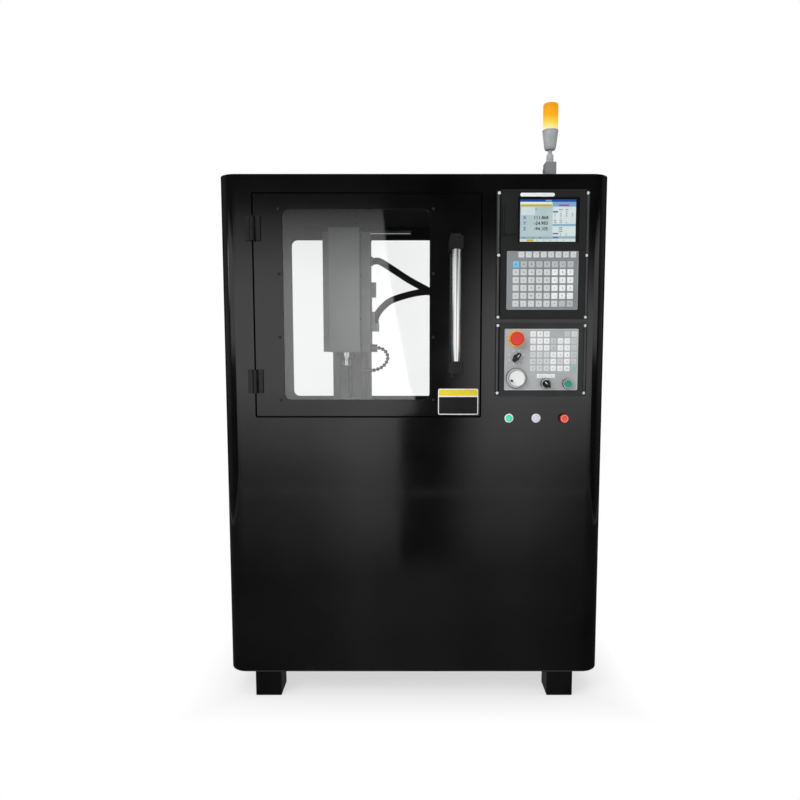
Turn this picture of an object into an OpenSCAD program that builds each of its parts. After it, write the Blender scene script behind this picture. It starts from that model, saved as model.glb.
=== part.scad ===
// Enclosed vertical machining center: a sheet-metal cabinet with a hinged, glazed door, an operator
// station, a folding signal beacon and a three-axis mill inside.
// Millimetres, +Z up, front towards -Y, origin on the floor under the middle of the machine.
// A "depth" d is measured back from the plane of the cabinet's front skin.

/* [Cabinet] */
// Width of the cabinet
cab_w = 1150; // [1130:10:1400]
// Depth of the cabinet, front skin to rear skin
cab_d = 870; // [850:10:1060]
// Height of the cabinet above its feet
cab_h = 1505; // [1495:5:1810]
// Outer radius of the rolled front corners
corner_r = 55; // [40:1:66]
// Thickness of the folded sheet
sheet_t = 2; // [1.5:0.1:2.5]
// Height of the feet
foot_h = 80; // [66:1:100]
// Side of a square foot
foot_w = 80; // [60:1:100]

/* [Door] */
// Distance from the cabinet's left side to the door
door_margin = 105; // [95:1:130]
// Height of the door's lower edge above the floor
door_z = 878; // [860:1:900]
// Gap all round the door
door_gap = 5; // [3:0.5:7]
// Depth of the door's folded edge
door_depth = 25; // [20:1:30]
// Radius of the window's corners
window_r = 20; // [8:1:40]
// Thickness of the window panes
pane_t = 6; // [4:0.5:8]
// Width of one hinge, both leaves
hinge_w = 44; // [40:1:56]
// Height of one hinge
hinge_h = 70; // [50:1:90]
// Diameter of the hinge pins
hinge_pin_d = 8; // [6:0.5:10]

/* [Handle] */
// Length of the door handle over its brackets
handle_len = 420; // [340:5:510]
// Diameter of the handle bar
handle_d = 28; // [22:0.5:34]
// How far the handle stands out of the door
handle_out = 60; // [50:1:74]

/* [Operator station] */
// Width of the two operator panels
panel_w = 272; // [266:1:328]
// Height of the upper panel
panel_up_h = 373; // [368:1:400]
// Height of the lower panel
panel_low_h = 218; // [212:1:262]
// How far the panel frames stand out
panel_out = 10; // [8:0.5:13]
// Diameter of the handwheel
wheel_d = 46; // [36:1:56]
// Diameter of the emergency-stop button
estop_d = 40; // [32:1:48]

/* [Mill] */
// Length of the table
table_l = 400; // [332:2:410]
// Width of the table
table_w = 160; // [140:2:160]
// Height of the table top above the floor
table_z = 845; // [820:1:860]
// Width of the head casting
head_w = 168; // [160:2:200]
// Diameter of the ball screws
screw_d = 16; // [12:0.5:18]
// Diameter of the two conduits
conduit_d = 25; // [20:1:30]

/* [Beacon] */
// Diameter of the beacon lens
lens_d = 50; // [40:1:60]
// Height of the beacon lens
lens_h = 84; // [66:1:104]

/* [Hidden] */
$fn = 64;

// Clearances: sliding faces, seated parts, running fits
slide_gap = 0.5;
seat_gap = 0.3;
run_gap = 0.05;

// Colours
skin_col = [0.09, 0.09, 0.1];
frame_col = [0.16, 0.16, 0.17];
pale_col = [0.74, 0.76, 0.77];
cast_col = [0.55, 0.57, 0.58];
steel_col = [0.72, 0.73, 0.75];
dark_col = [0.05, 0.05, 0.05];

// Cabinet levels and sides
gland_out = 28;
front_y = -(cab_d + gland_out - handle_out) / 2;
half_w = cab_w / 2;
cab_top = foot_h + cab_h;
floor_t = 3;
shell_z0 = foot_h + floor_t;
shell_z1 = cab_top - sheet_t;
seam_d = corner_r + 15;
foot_in = 82;
foot_back = 4;

// Operator station places
panel_side = 198.5;
panel_cx = half_w - panel_side;
up_z1 = cab_top - 46;
up_z0 = up_z1 - panel_up_h;
low_z1 = up_z0 - 10;
low_z0 = low_z1 - panel_low_h;
flange_t = 3;
frame_w = panel_w - 25;
plate_d = 3.5 - panel_out;
face_d = plate_d - 1.5;
panel_cut_w = 224;
panel_lap = 14;
panel_screw_x = panel_w / 2 - 7.5;
panel_screw_z = [up_z1 - 9.5, (up_z0 + up_z1) / 2 - 1, up_z0 + 6, low_z1 - 9, low_z0 + 9.5];

// Partition and door
part_x = panel_cx - panel_w / 2 - 24.5;
door_x0 = door_margin - half_w;
door_x1 = part_x - 20;
door_z1 = cab_top - 56.5;
door_w = door_x1 - door_x0;
door_h = door_z1 - door_z;
door_cx = (door_x0 + door_x1) / 2;
door_cz = (door_z + door_z1) / 2;
open_w = door_w + 2 * door_gap;
open_h = door_h + 2 * door_gap;
open_r = 6;
lip_w = 22;
seal_t = 4;
lip_d = door_depth + seal_t;

// Window in the door
win_x0 = door_x0 + 84;
win_x1 = door_x1 - 150;
win_z0 = door_z + 49;
win_z1 = door_z1 - 43.5;
win_cx = (win_x0 + win_x1) / 2;
win_cz = (win_z0 + win_z1) / 2;
win_w = win_x1 - win_x0;
win_h = win_z1 - win_z0;
win_screw_out = 11;
pane_over = 18;
screw_r = 2.4;
screw_hole_r = 2.7;
screw_head_r = 4.5;
screw_head_h = 3;
nut_r = 4.4;
nut_h = 3.5;
screw_tail = 5;

// Hinges and handle
hinge_x = door_x0 - 1;
hinge_d = -9;
knuckle_r = 8;
knuckle_gap = 0.6;
pin_short = 3;
leaf_t = 6;
hinge_z = [door_z + 104, door_z1 - 100];
handle_x = door_x1 - 74;
bracket_w = 38;
bracket_h = 36;
bracket_foot = 14;
bracket_foot_t = 10;
bar_d = handle_d / 2 + 2 - handle_out;
bar_inset = bracket_foot + 6;
bar_fit = 0.1;

// Rear window
rear_x0 = 55 - half_w;
rear_x1 = part_x - 56;
rear_z0 = door_z - 9;
rear_z1 = cab_top - 53;
rear_cx = (rear_x0 + rear_x1) / 2;
rear_cz = (rear_z0 + rear_z1) / 2;
rear_w = rear_x1 - rear_x0;
rear_h = rear_z1 - rear_z0;
rear_in = cab_d - sheet_t;

// Screen, key panels and port
screen_x = panel_cx + 14.5;
screen_z = up_z1 - 87;
screen_w = 178;
screen_h = 129;
screen_back = 22;
screen_set = 1.5;
screen_rim = [5, 2];
keys_x = panel_cx - 0.5;
keys_z = up_z1 - 260.5;
keys_w = 210;
keys_h = 170;
key_up = 0.8;
soft_keys = [panel_cx + 13, up_z1 - 186];
soft_pitch = 21.7;
soft_key = 17;
letter_keys = [panel_cx + 1.5, up_z1 - 271];
letter_pitch = 22.8;
letter_key = 18;
port_x = panel_cx - 100;
port_z = up_z1 - 88;
port_w = 36;
port_h = 80;
port_lap = 5;
port_pin_r = 1.5;
port_knuckle_r = 3;
port_lid_t = 3.3;
port_axis_x = port_x - port_w / 2 + 1;
port_axis_d = -panel_out - port_knuckle_r - seat_gap;
plate_x = panel_cx;
plate_z = low_z1 - 109;
plate_w = 218;
plate_h = 182;
jog_keys = [panel_cx + 36, low_z1 - 84.5];
jog_pitch = 20.2;
jog_key = 16.5;

// Operator controls on the lower panel
estop_x = panel_cx - 74.5;
estop_z = low_z1 - 47.5;
knob_x = panel_cx - 73.5;
knob_z = low_z1 - 102.5;
wheel_x = panel_cx - 73.5;
wheel_z = low_z1 - 164;
selector_x = panel_cx + 13.5;
start_x = panel_cx + 78.5;
switch_z = low_z1 - 180;
button_x = [panel_cx - 92.5, panel_cx - 11.5, panel_cx + 70.5];
button_z = low_z0 - 66;
bezel_r = 14.5;
bezel_out = 4;
switch_out = 12;
barrel_r = 11;
barrel_l = 22;
bore_r = 9.6;
cap_r = bore_r - seat_gap;
cap_out = 3.5;
cap_back = 12;
mushroom_r = 12.4;
knob_r = 13;
knob_shaft_r = 3;
knob_turn = 40;
selector_r = 12;
selector_turn = 45;
grip_out = 18;
dial_r = wheel_d / 2 + 7;
dial_out = 6;
wheel_shaft_r = 6;
wheel_bush_r = 10;
wheel_t = 12;
wheel_rim = 4;
stem_r = 7;

// Mill: machine centre line, spindle axis and column face
mill_x = -half_w + sheet_t + (part_x + half_w) / 2 - 62.5;
axis_d = 375;
column_d = 530;
table_t = 45;
rail_w = 20;
rail_h = 17.5;
table_under = table_z - table_t;
saddle_top = table_under - 35;
saddle_under = saddle_top - 30;
base_top = saddle_under - 25;
base_w = 260;
base_d0 = 190;
base_d1 = 740;
channel_w = 64;
channel_h = 22;
lug_t = 20;
y_screw_z = base_top + 12;
x_screw_z = saddle_top + 20;
saddle_w = 170;
saddle_l = 160;
y_rail_x = 65;
x_rail_d = 50;
pad_w = 30;
tray_z = base_top - 90;
tray_h = 40;
y_nut = [50, 60, 13];
x_nut = [60, 50, 3];
slot_pitch = 50;
slot_neck = 10;
slot_neck_h = 12;
slot_head = 18;
slot_head_h = 9;

// Column, head and spindle
column_w = 134;
column_t = 190;
column_z1 = 1400;
column_wall = 16;
z_rail_x = 50;
z_screw_d = column_d - 13;
z_low = table_z + 17;
z_lug = table_z + 27;
z_lug_w = 56;
z_lug_out = 17;
mount_w = 90;
mount_t = 12;
mount_out = 37;
mount_d = [column_d + 15, column_d + 70];
head_z0 = 1065;
head_z1 = 1290;
head_d0 = 400;
head_d1 = 505;
pad_d1 = column_d - 4;
cover_w = 106;
cover_d = 320;
cover_z1 = 1489;
cover_back = 475;
housing_r = 45;
z_nut = [44, 60];
spindle_r = 25;
spindle_short = 40;
flange_r = 32;
nose_r = 20;
nose_l = 36;
nose_z = 1012;
collet_r = 6.5;
collet_l = 30;
motor_w = 60;
motor_l = 90;
motor_flange = 8;
motor_cap = 22;
motor_z = 1452;
spindle_motor_w = 80;
spindle_motor_l = 150;

// Coolant and conduits
head_right = mill_x + head_w / 2;
arm_out = 18;
arm_d = [450, 462];
arm_z = [1262, head_z1 + 26];
manifold_d = 447;
manifold_out = 14;
manifold_w = 14;
manifold_z = [1139, 1210];
socket_d = 469;
socket_out = 27;
socket_w = 32;
socket_z1 = 1170;
swivel_z = 1078;
swivel_d = 445;
swivel_l = 22;
swivel_r = 14;
hose_r = 7;
nozzle_r = 2.5;
boss_l = 8;
gland_l = 14;
gland_r = 19;
gland_hex_r = 22;
gland_hex_h = 8;
gland_bore_r = 11;
gland_nut_h = 6;
gland_thread_l = 8;
thread_r = 16;
mains_x = panel_cx;
mains_z = shell_z0 + 170;
upper_z = 1390;
upper_d = 440;
upper_wall = [455, 1220];
lower_wall = [505, 1195];
wall_x = part_x - gland_l;

// Route of the upper conduit, from the head cover to the partition
upper_route = [
    [head_right + boss_l, upper_d, upper_z],
    [head_right + 30, upper_d, upper_z],
    [head_right + 66, 441, 1370],
    [head_right + 138, 445, 1324],
    [head_right + 213, 450, 1284],
    [wall_x - 78, 453, 1246],
    [wall_x - 20, 455, 1220],
    [wall_x, 455, 1220]];

// Route of the lower conduit, from the socket by the manifold to the partition
lower_route = [
    [head_right + 14, socket_d, socket_z1],
    [head_right + 14, socket_d, socket_z1 + 10],
    [head_right + 20, 470, 1200],
    [head_right + 41, 473, 1228],
    [head_right + 82, 479, 1257],
    [head_right + 178, 489, 1283],
    [head_right + 240, 497, 1277],
    [wall_x - 60, 503, 1222],
    [wall_x - 20, 505, 1195],
    [wall_x, 505, 1195]];

// Route of the coolant hose, from the swivel to the tip of its nozzle, as offsets from the swivel's end
hose_route = [
    [0, 0, 0], [8, 0, 0], [18, -2, -3], [27, -4, -9], [34, -7, -18], [38, -10, -28], [38, -14, -39],
    [34, -18, -50], [27, -22, -60], [18, -26, -68], [7, -30, -74], [-5, -34, -78], [-17, -38, -80],
    [-66, -52, -83]];

// Beacon
beacon_x = half_w - 125;
beacon_d = 275;
pivot_z = cab_top + 80;
ear_gap = 12.3;
ear_t = 5;
ear_z1 = cab_top + 104;
pivot_r = 4;
pivot_out = 4;
pivot_head = [7, 5];
base_plate = [60, 50, 4];
neck_r = 7;
sleeve_r = 11.5;
sleeve_z = [cab_top + 66, cab_top + 134];
sleeve_swing = norm([pivot_z - sleeve_z[0], sleeve_r]);
web_t = 4;
ear_w = 2 * (sleeve_swing + 2 * slide_gap + web_t);
cone_z0 = cab_top + 146;
lens_z0 = cab_top + 210;

// Work light
light_x = [mill_x + 30, mill_x + 230];
light_z = cab_top - 24;
light_h = 16;
light_t = 22;

// Depth behind the front skin as a Y coordinate
function fy(d) = front_y + d;
// Range of length l about a middle
function about(middle, l) = [middle - l / 2, middle + l / 2];
// A route point given as x, depth, z
function at_depth(p) = [p[0], fy(p[1]), p[2]];

// Box from its ranges in x, depth and z
module block(x, d, z) {
    translate([x[0], fy(d[0]), z[0]])
        cube([x[1] - x[0], d[1] - d[0], z[1] - z[0]]);
}

// Box centred on x, with a range in depth and in z
module bar(cx, w, d, z) {
    block([cx - w / 2, cx + w / 2], d, z);
}

module rod_x(x, d, z, r) {
    translate([x[0], fy(d), z])
        rotate([0, 90, 0])
            cylinder(h = x[1] - x[0], r = r);
}

module rod_y(x, d, z, r) {
    translate([x, fy(d[0]), z])
        rotate([-90, 0, 0])
            cylinder(h = d[1] - d[0], r = r);
}

module rod_z(x, d, z, r) {
    translate([x, fy(d), z[0]])
        cylinder(h = z[1] - z[0], r = r);
}

// Rectangle with round corners, centred
module round_rect(w, h, r) {
    square([w - 2 * r, h], center = true);
    square([w, h - 2 * r], center = true);
    for (sx = [-1, 1], sz = [-1, 1])
        translate([sx * (w / 2 - r), sz * (h / 2 - r)])
            circle(r);
}

// Upright plate with round corners between two depths
module plate(cx, cz, w, h, r, d) {
    translate([cx, fy(d[1]), cz])
        rotate([90, 0, 0])
            linear_extrude(d[1] - d[0])
                round_rect(w, h, r);
}

// Plan of the cabinet: a rectangle with round front corners, front edge on y = 0
module plan(w, d, r) {
    translate([r - w / 2, 0])
        square([w - 2 * r, d]);
    translate([-w / 2, r])
        square([w, d - r]);
    for (s = [-1, 1])
        translate([s * (w / 2 - r), r])
            intersection() {
                circle(r);
                translate([-r, -r])
                    square([2 * r, r]);
            }
}

// Plan inset on all sides by t
module plan_inset(t) {
    translate([0, t])
        plan(cab_w - 2 * t, cab_d - 2 * t, corner_r - t);
}

module on_front(z) {
    translate([0, front_y, z])
        children();
}

// Upright slab of the plan's front part, used for the front skin
module front_skin() {
    on_front(shell_z0)
        linear_extrude(shell_z1 - shell_z0)
            difference() {
                plan(cab_w, seam_d, corner_r);
                translate([0, sheet_t])
                    plan(cab_w - 2 * sheet_t, seam_d, corner_r - sheet_t);
            }
}

// Folded return round the door opening, ending in the seal lip
module door_return() {
    rim_w = open_w + 2 * sheet_t;
    rim_h = open_h + 2 * sheet_t;
    difference() {
        plate(door_cx, door_cz, rim_w, rim_h, open_r + sheet_t, [sheet_t / 2, lip_d + sheet_t]);
        plate(door_cx, door_cz, open_w, open_h, open_r, [0, lip_d]);
        plate(door_cx, door_cz, open_w - 2 * lip_w, open_h - 2 * lip_w, open_r, [0, lip_d + 2 * sheet_t]);
    }
}

module panel_screw_places() {
    for (s = [-1, 1], z = panel_screw_z)
        translate([panel_cx + s * panel_screw_x, 0, z])
            children();
}

module window_screw_places() {
    for (x = [win_x0 - win_screw_out, win_x1 + win_screw_out], i = [0:3])
        translate([x, 0, win_z0 + i * win_h / 3])
            children();
}

module rear_screw_places() {
    for (x = [rear_x0 - win_screw_out, rear_x1 + win_screw_out], i = [0:3])
        translate([x, 0, rear_z0 + i * rear_h / 3])
            children();
}

module front_panel() {
    color(skin_col)
        difference() {
            union() {
                front_skin();
                door_return();
            }
            plate(door_cx, door_cz, open_w, open_h, open_r, [-1, sheet_t + 1]);
            bar(panel_cx, panel_cut_w, [-1, sheet_t + 1], [up_z0 + panel_lap, up_z1 - panel_lap]);
            bar(panel_cx, panel_cut_w, [-1, sheet_t + 1], [low_z0 + panel_lap, low_z1 - panel_lap]);
            for (x = button_x)
                rod_y(x, [-1, sheet_t + 1], button_z, barrel_r + seat_gap);
            panel_screw_places()
                rod_y(0, [-1, sheet_t + 1], 0, screw_hole_r);
        }
}

// Side sheet with a tongue behind the front skin and a flange for the rear panel; side is -1 or 1
module side_panel(side) {
    tongue = 15;
    flange = 25;
    outer = [half_w - sheet_t, half_w];
    color(skin_col)
        mirror([side < 0 ? 1 : 0, 0, 0])
            union() {
                block(outer, [seam_d, rear_in], [shell_z0, shell_z1]);
                block([half_w - 2 * sheet_t, half_w - sheet_t], [seam_d - tongue, seam_d + tongue],
                    [shell_z0 + tongue, shell_z1 - tongue]);
                block([half_w - flange, half_w - sheet_t], [rear_in - sheet_t, rear_in],
                    [shell_z0, shell_z1]);
            }
}

module side_panel_left() {
    side_panel(-1);
}

module side_panel_right() {
    side_panel(1);
}

module rear_panel() {
    color(skin_col)
        difference() {
            bar(0, cab_w, [rear_in, cab_d], [shell_z0, shell_z1]);
            plate(rear_cx, rear_cz, rear_w, rear_h, window_r + 5, [rear_in - 1, cab_d + 1]);
            rod_y(mains_x, [rear_in - 1, cab_d + 1], mains_z, thread_r + seat_gap);
            rear_screw_places()
                rod_y(0, [rear_in - 1, cab_d + 1], 0, screw_hole_r);
        }
}

module roof_panel() {
    color(skin_col)
        on_front(shell_z1)
            linear_extrude(sheet_t)
                plan(cab_w, cab_d, corner_r);
}

module floor_pan() {
    color(skin_col)
        on_front(foot_h)
            linear_extrude(floor_t)
                plan(cab_w, cab_d, corner_r);
}

module feet() {
    far = cab_d - foot_w - foot_back;
    color(dark_col)
        for (s = [-1, 1], d = [foot_back, far])
            bar(s * (half_w - foot_in - foot_w / 2), foot_w, [d, d + foot_w], [0, foot_h]);
}

module partition_wall() {
    color(frame_col)
        difference() {
            block([part_x, part_x + sheet_t], [sheet_t, rear_in], [shell_z0, shell_z1]);
            for (p = [upper_wall, lower_wall])
                rod_x([part_x - 1, part_x + sheet_t + 1], p[0], p[1], thread_r + seat_gap);
        }
}

module rear_window() {
    over = 2 * pane_over;
    color([0.8, 0.86, 0.88, 0.35])
        difference() {
            plate(rear_cx, rear_cz, rear_w + over, rear_h + over, window_r, [rear_in - pane_t, rear_in]);
            rear_screw_places()
                rod_y(0, [rear_in - pane_t - 1, rear_in + 1], 0, screw_hole_r);
        }
}

// Pan-head screw with its nut, head towards -Y with its seat on depth d
module screw_and_nut(d, grip) {
    rod_y(0, [d - screw_head_h, d], 0, screw_head_r);
    rod_y(0, [d, d + grip + screw_tail], 0, screw_r);
    rod_y(0, [d + grip, d + grip + nut_h], 0, nut_r, $fn = 6);
}

module cabinet_screws() {
    color(steel_col) {
        panel_screw_places()
            screw_and_nut(-flange_t, flange_t + sheet_t);
        rear_screw_places()
            translate([0, 2 * front_y + cab_d, 0])
                mirror([0, 1, 0])
                    screw_and_nut(0, sheet_t + pane_t);
    }
}

module door_seal() {
    color(dark_col)
        difference() {
            plate(door_cx, door_cz, open_w - 1, open_h - 1, open_r, [lip_d - seal_t + seat_gap, lip_d]);
            plate(door_cx, door_cz, open_w - lip_w, open_h - lip_w, open_r, [0, lip_d + 1]);
        }
}

module left_of(x) {
    translate([x - 2 * cab_w, -cab_d])
        square([2 * cab_w, 3 * cab_d]);
}

// Open pan between the cabinet's left side and the partition, round the mill's base
module chip_tray() {
    gap = 2 * sheet_t + seat_gap;
    color(steel_col)
        difference() {
            on_front(tray_z)
                linear_extrude(tray_h)
                    intersection() {
                        plan_inset(gap);
                        left_of(part_x);
                    }
            on_front(tray_z + sheet_t)
                linear_extrude(tray_h)
                    intersection() {
                        plan_inset(gap + sheet_t);
                        left_of(part_x - sheet_t);
                    }
            bar(mill_x, base_w, [base_d0, base_d1], [tray_z - 1, tray_z + tray_h]);
        }
}

// Mounting flange with side strips and the raised frame between them
module panel_blank(z0, z1) {
    cz = (z0 + z1) / 2;
    plate(panel_cx, cz, panel_w, z1 - z0, 4, [-flange_t, 0]);
    plate(panel_cx, cz, frame_w, z1 - z0, 4, [-panel_out, -flange_t]);
}

// Knuckle of the port cover's hinge on the panel frame
module port_knuckle(z) {
    rod_z(port_axis_x, port_axis_d, z, port_knuckle_r);
    bar(port_axis_x, 2 * port_knuckle_r, [port_axis_d, -panel_out], z);
}

module control_panel_upper() {
    lug = 5;
    top = port_z + port_h / 2;
    low = port_z - port_h / 2;
    color(frame_col) {
        difference() {
            panel_blank(up_z0, up_z1);
            bar(screen_x, screen_w + 2 * seat_gap, [-panel_out - 1, 1],
                [screen_z - screen_h / 2 - seat_gap, screen_z + screen_h / 2 + seat_gap]);
            plate(keys_x, keys_z, keys_w + 2 * seat_gap, keys_h + 2 * seat_gap, 3,
                [-panel_out - 1, plate_d]);
            plate(port_x, port_z, port_w - 2 * port_lap, port_h - 2 * port_lap, 2, [-panel_out - 1, 1]);
            panel_screw_places()
                rod_y(0, [-flange_t - 1, 1], 0, screw_hole_r);
        }
        port_knuckle([top + seat_gap, top + seat_gap + lug]);
        port_knuckle([low - seat_gap - lug, low - seat_gap]);
        rod_z(port_axis_x, port_axis_d, [low - seat_gap - lug, top + seat_gap + lug], port_pin_r);
    }
}

module display_screen() {
    color(dark_col)
        difference() {
            bar(screen_x, screen_w, [screen_set - panel_out, screen_back],
                [screen_z - screen_h / 2, screen_z + screen_h / 2]);
            bar(screen_x, screen_w - 2 * screen_rim[0], [-panel_out, screen_set + 1 - panel_out],
                [screen_z - screen_h / 2 + screen_rim[1], screen_z + screen_h / 2 - screen_rim[1]]);
        }
}

// Rows and columns of raised key pads round a centre
module key_grid(centre, columns, rows, pitch, size, skip = []) {
    for (c = [0:columns - 1], r = [0:rows - 1])
        if (len([for (s = skip) if (s == [c, r]) 1]) == 0) {
            z = centre[1] + ((rows - 1) / 2 - r) * pitch;
            bar(centre[0] + (c - (columns - 1) / 2) * pitch, size, [face_d - key_up, face_d],
                [z - size / 2, z + size / 2]);
        }
}

module keypad_upper() {
    color(pale_col) {
        plate(keys_x, keys_z, keys_w, keys_h, 3, [face_d, plate_d]);
        key_grid(soft_keys, 8, 1, soft_pitch, soft_key);
        key_grid(letter_keys, 8, 6, letter_pitch, letter_key);
    }
}

module port_cover() {
    z = [port_z - port_h / 2, port_z + port_h / 2];
    color(frame_col)
        difference() {
            union() {
                block([port_axis_x, port_x + port_w / 2],
                    [-panel_out - seat_gap - port_lid_t, -panel_out - seat_gap], z);
                rod_z(port_axis_x, port_axis_d, z, port_knuckle_r);
            }
            rod_z(port_axis_x, port_axis_d, [z[0] - 1, z[1] + 1], port_pin_r + run_gap);
        }
}

// Holes that the controls of the lower panel pass through
module control_holes(d) {
    rod_y(estop_x, d, estop_z, barrel_r + seat_gap);
    rod_y(knob_x, d, knob_z, knob_shaft_r + seat_gap);
    rod_y(wheel_x, d, wheel_z, wheel_bush_r + seat_gap);
    for (x = [selector_x, start_x])
        rod_y(x, d, switch_z, barrel_r + seat_gap);
}

module control_panel_lower() {
    color(frame_col)
        difference() {
            panel_blank(low_z0, low_z1);
            plate(plate_x, plate_z, plate_w + 2 * seat_gap, plate_h + 2 * seat_gap, 3,
                [-panel_out - 1, plate_d]);
            panel_screw_places()
                rod_y(0, [-flange_t - 1, 1], 0, screw_hole_r);
            control_holes([-panel_out, 1]);
        }
}

module keypad_lower() {
    color(pale_col)
        difference() {
            union() {
                plate(plate_x, plate_z, plate_w, plate_h, 3, [face_d, plate_d]);
                key_grid(jog_keys, 7, 6, jog_pitch, jog_key, [[3, 0], [4, 0]]);
            }
            control_holes([-panel_out - 1, plate_d + 1]);
        }
}

// Button bezel: collar that stands out from depth d, barrel behind it
module bezel(x, z, d, out) {
    difference() {
        union() {
            rod_y(x, [d - out, d], z, bezel_r);
            rod_y(x, [d, d + barrel_l], z, barrel_r);
        }
        rod_y(x, [d - out - 1, d + barrel_l + 1], z, bore_r);
    }
}

module button_bezels() {
    color(pale_col) {
        bezel(selector_x, switch_z, face_d, switch_out);
        bezel(start_x, switch_z, face_d, switch_out);
        for (x = button_x)
            bezel(x, button_z, 0, bezel_out);
    }
}

// Push button in a bezel that stands out from depth d
module push_button(x, z, d, out) {
    rod_y(x, [d - out - cap_out, d + cap_back], z, cap_r);
}

module estop_ring() {
    collar_r = 15;
    collar_out = 7;
    disc_t = 3;
    rim = 4.5;
    body_l = 40;
    color("gold")
        difference() {
            union() {
                rod_y(estop_x, [face_d - disc_t, face_d], estop_z, estop_d / 2 + rim);
                rod_y(estop_x, [face_d - collar_out, face_d - disc_t], estop_z, collar_r);
                rod_y(estop_x, [face_d, face_d + body_l], estop_z, barrel_r);
            }
            rod_y(estop_x, [face_d - collar_out - 1, face_d + body_l + 1], estop_z, stem_r + seat_gap);
        }
}

module estop_button() {
    r = estop_d / 2;
    edge = 4;
    height = 12;
    stem_back = 25;
    back = face_d - 13;
    color("crimson") {
        translate([estop_x, fy(back), estop_z])
            rotate([90, 0, 0])
                rotate_extrude()
                    union() {
                        square([r, height - edge]);
                        square([r - edge, height]);
                        translate([r - edge, height - edge])
                            intersection() {
                                circle(edge);
                                square(edge);
                            }
                    }
        rod_y(estop_x, [back - 1, face_d + stem_back], estop_z, stem_r);
    }
}

module override_knob() {
    back = face_d - seat_gap;
    disc_t = 9;
    grip_w = 10;
    shaft_end = 6;
    color(dark_col) {
        rod_y(knob_x, [back - disc_t, back], knob_z, knob_r);
        translate([knob_x, 0, knob_z])
            rotate([0, knob_turn, 0])
                bar(0, grip_w, [back - grip_out, back - disc_t + 1], [-knob_r, knob_r]);
        rod_y(knob_x, [back - 1, shaft_end], knob_z, knob_shaft_r);
    }
}

module handwheel_dial() {
    bush_end = 30;
    color(pale_col)
        difference() {
            union() {
                rod_y(wheel_x, [face_d - dial_out, face_d], wheel_z, dial_r);
                rod_y(wheel_x, [face_d, bush_end], wheel_z, wheel_bush_r);
            }
            rod_y(wheel_x, [face_d - dial_out - 1, bush_end + 1], wheel_z, wheel_shaft_r + run_gap);
        }
}

module handwheel() {
    back = face_d - dial_out - 1;
    front = back - wheel_t;
    dish = 2;
    r = wheel_d / 2;
    shaft_end = 20;
    crank = [7 - r, -5];
    crank_r = 3.5;
    crank_out = 12;
    color("white") {
        difference() {
            rod_y(wheel_x, [front, back], wheel_z, r);
            rod_y(wheel_x, [front - 1, front + dish], wheel_z, r - wheel_rim);
        }
        rod_y(wheel_x, [back - 1, shaft_end], wheel_z, wheel_shaft_r);
        rod_y(wheel_x + crank[0], [front - crank_out, front + dish + 1], wheel_z + crank[1], crank_r);
    }
}

module selector_knob() {
    front = face_d - switch_out;
    disc_t = 6;
    lever_w = 7.5;
    tail = selector_r + 2;
    color(dark_col) {
        rod_y(selector_x, [front - 1, face_d + cap_back], switch_z, cap_r);
        rod_y(selector_x, [front - disc_t, front - seat_gap], switch_z, selector_r);
        translate([selector_x, 0, switch_z])
            rotate([0, -selector_turn, 0])
                bar(0, lever_w, [front - grip_out, front - disc_t + 1], [-tail, selector_r]);
    }
}

module start_button() {
    color("seagreen")
        push_button(start_x, switch_z, face_d, switch_out);
}

module power_on_button() {
    color("mediumseagreen")
        push_button(button_x[0], button_z, 0, bezel_out);
}

module white_button() {
    color("white")
        push_button(button_x[1], button_z, 0, bezel_out);
}

module power_off_button() {
    stand = 5;
    head = 11;
    color("tomato") {
        rod_y(button_x[2], [-bezel_out - stand - 1, cap_back], button_z, cap_r);
        rod_y(button_x[2], [-bezel_out - stand - head, -bezel_out - stand], button_z, mushroom_r);
    }
}

// Frame half of a lift-off hinge: lower knuckle with its fixed pin
module frame_leaf(z) {
    low = z - hinge_h / 2;
    top = z + hinge_h / 2;
    x0 = hinge_x - hinge_w / 2;
    block([x0, hinge_x], [-leaf_t, 0], [low, z - seat_gap]);
    block([x0, hinge_x - knuckle_r - knuckle_gap], [-leaf_t, 0], [low, top]);
    rod_z(hinge_x, hinge_d, [low, z - seat_gap], knuckle_r);
    rod_z(hinge_x, hinge_d, [low, top - pin_short], hinge_pin_d / 2);
}

// Door half of a lift-off hinge: upper knuckle, bored for the pin
module door_leaf(z) {
    low = z - hinge_h / 2;
    top = z + hinge_h / 2;
    x1 = hinge_x + hinge_w / 2;
    difference() {
        union() {
            block([hinge_x, x1], [-leaf_t, 0], [z + seat_gap, top]);
            block([hinge_x + knuckle_r + knuckle_gap, x1], [-leaf_t, 0], [low, top]);
            rod_z(hinge_x, hinge_d, [z + seat_gap, top], knuckle_r);
        }
        rod_z(hinge_x, hinge_d, [z, top - pin_short + 1], hinge_pin_d / 2 + run_gap);
    }
}

module hinge_frame_leaves() {
    color(dark_col)
        for (z = hinge_z)
            frame_leaf(z);
}

module hinge_door_leaves() {
    color(dark_col)
        for (z = hinge_z)
            door_leaf(z);
}

// Folded door pan with its window opening
module door_panel() {
    color(skin_col)
        difference() {
            plate(door_cx, door_cz, door_w, door_h, 4, [0, door_depth]);
            plate(door_cx, door_cz, door_w - 2 * sheet_t, door_h - 2 * sheet_t, 2,
                [sheet_t, door_depth + 1]);
            plate(win_cx, win_cz, win_w, win_h, window_r, [-1, sheet_t + 1]);
            window_screw_places()
                rod_y(0, [-1, sheet_t + 1], 0, screw_hole_r);
        }
}

module door_window() {
    over = 2 * pane_over;
    color([0.8, 0.86, 0.88, 0.35])
        difference() {
            plate(win_cx, win_cz, win_w + over, win_h + over, window_r, [sheet_t, sheet_t + pane_t]);
            window_screw_places()
                rod_y(0, [sheet_t - 1, sheet_t + pane_t + 1], 0, screw_hole_r);
        }
}

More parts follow.
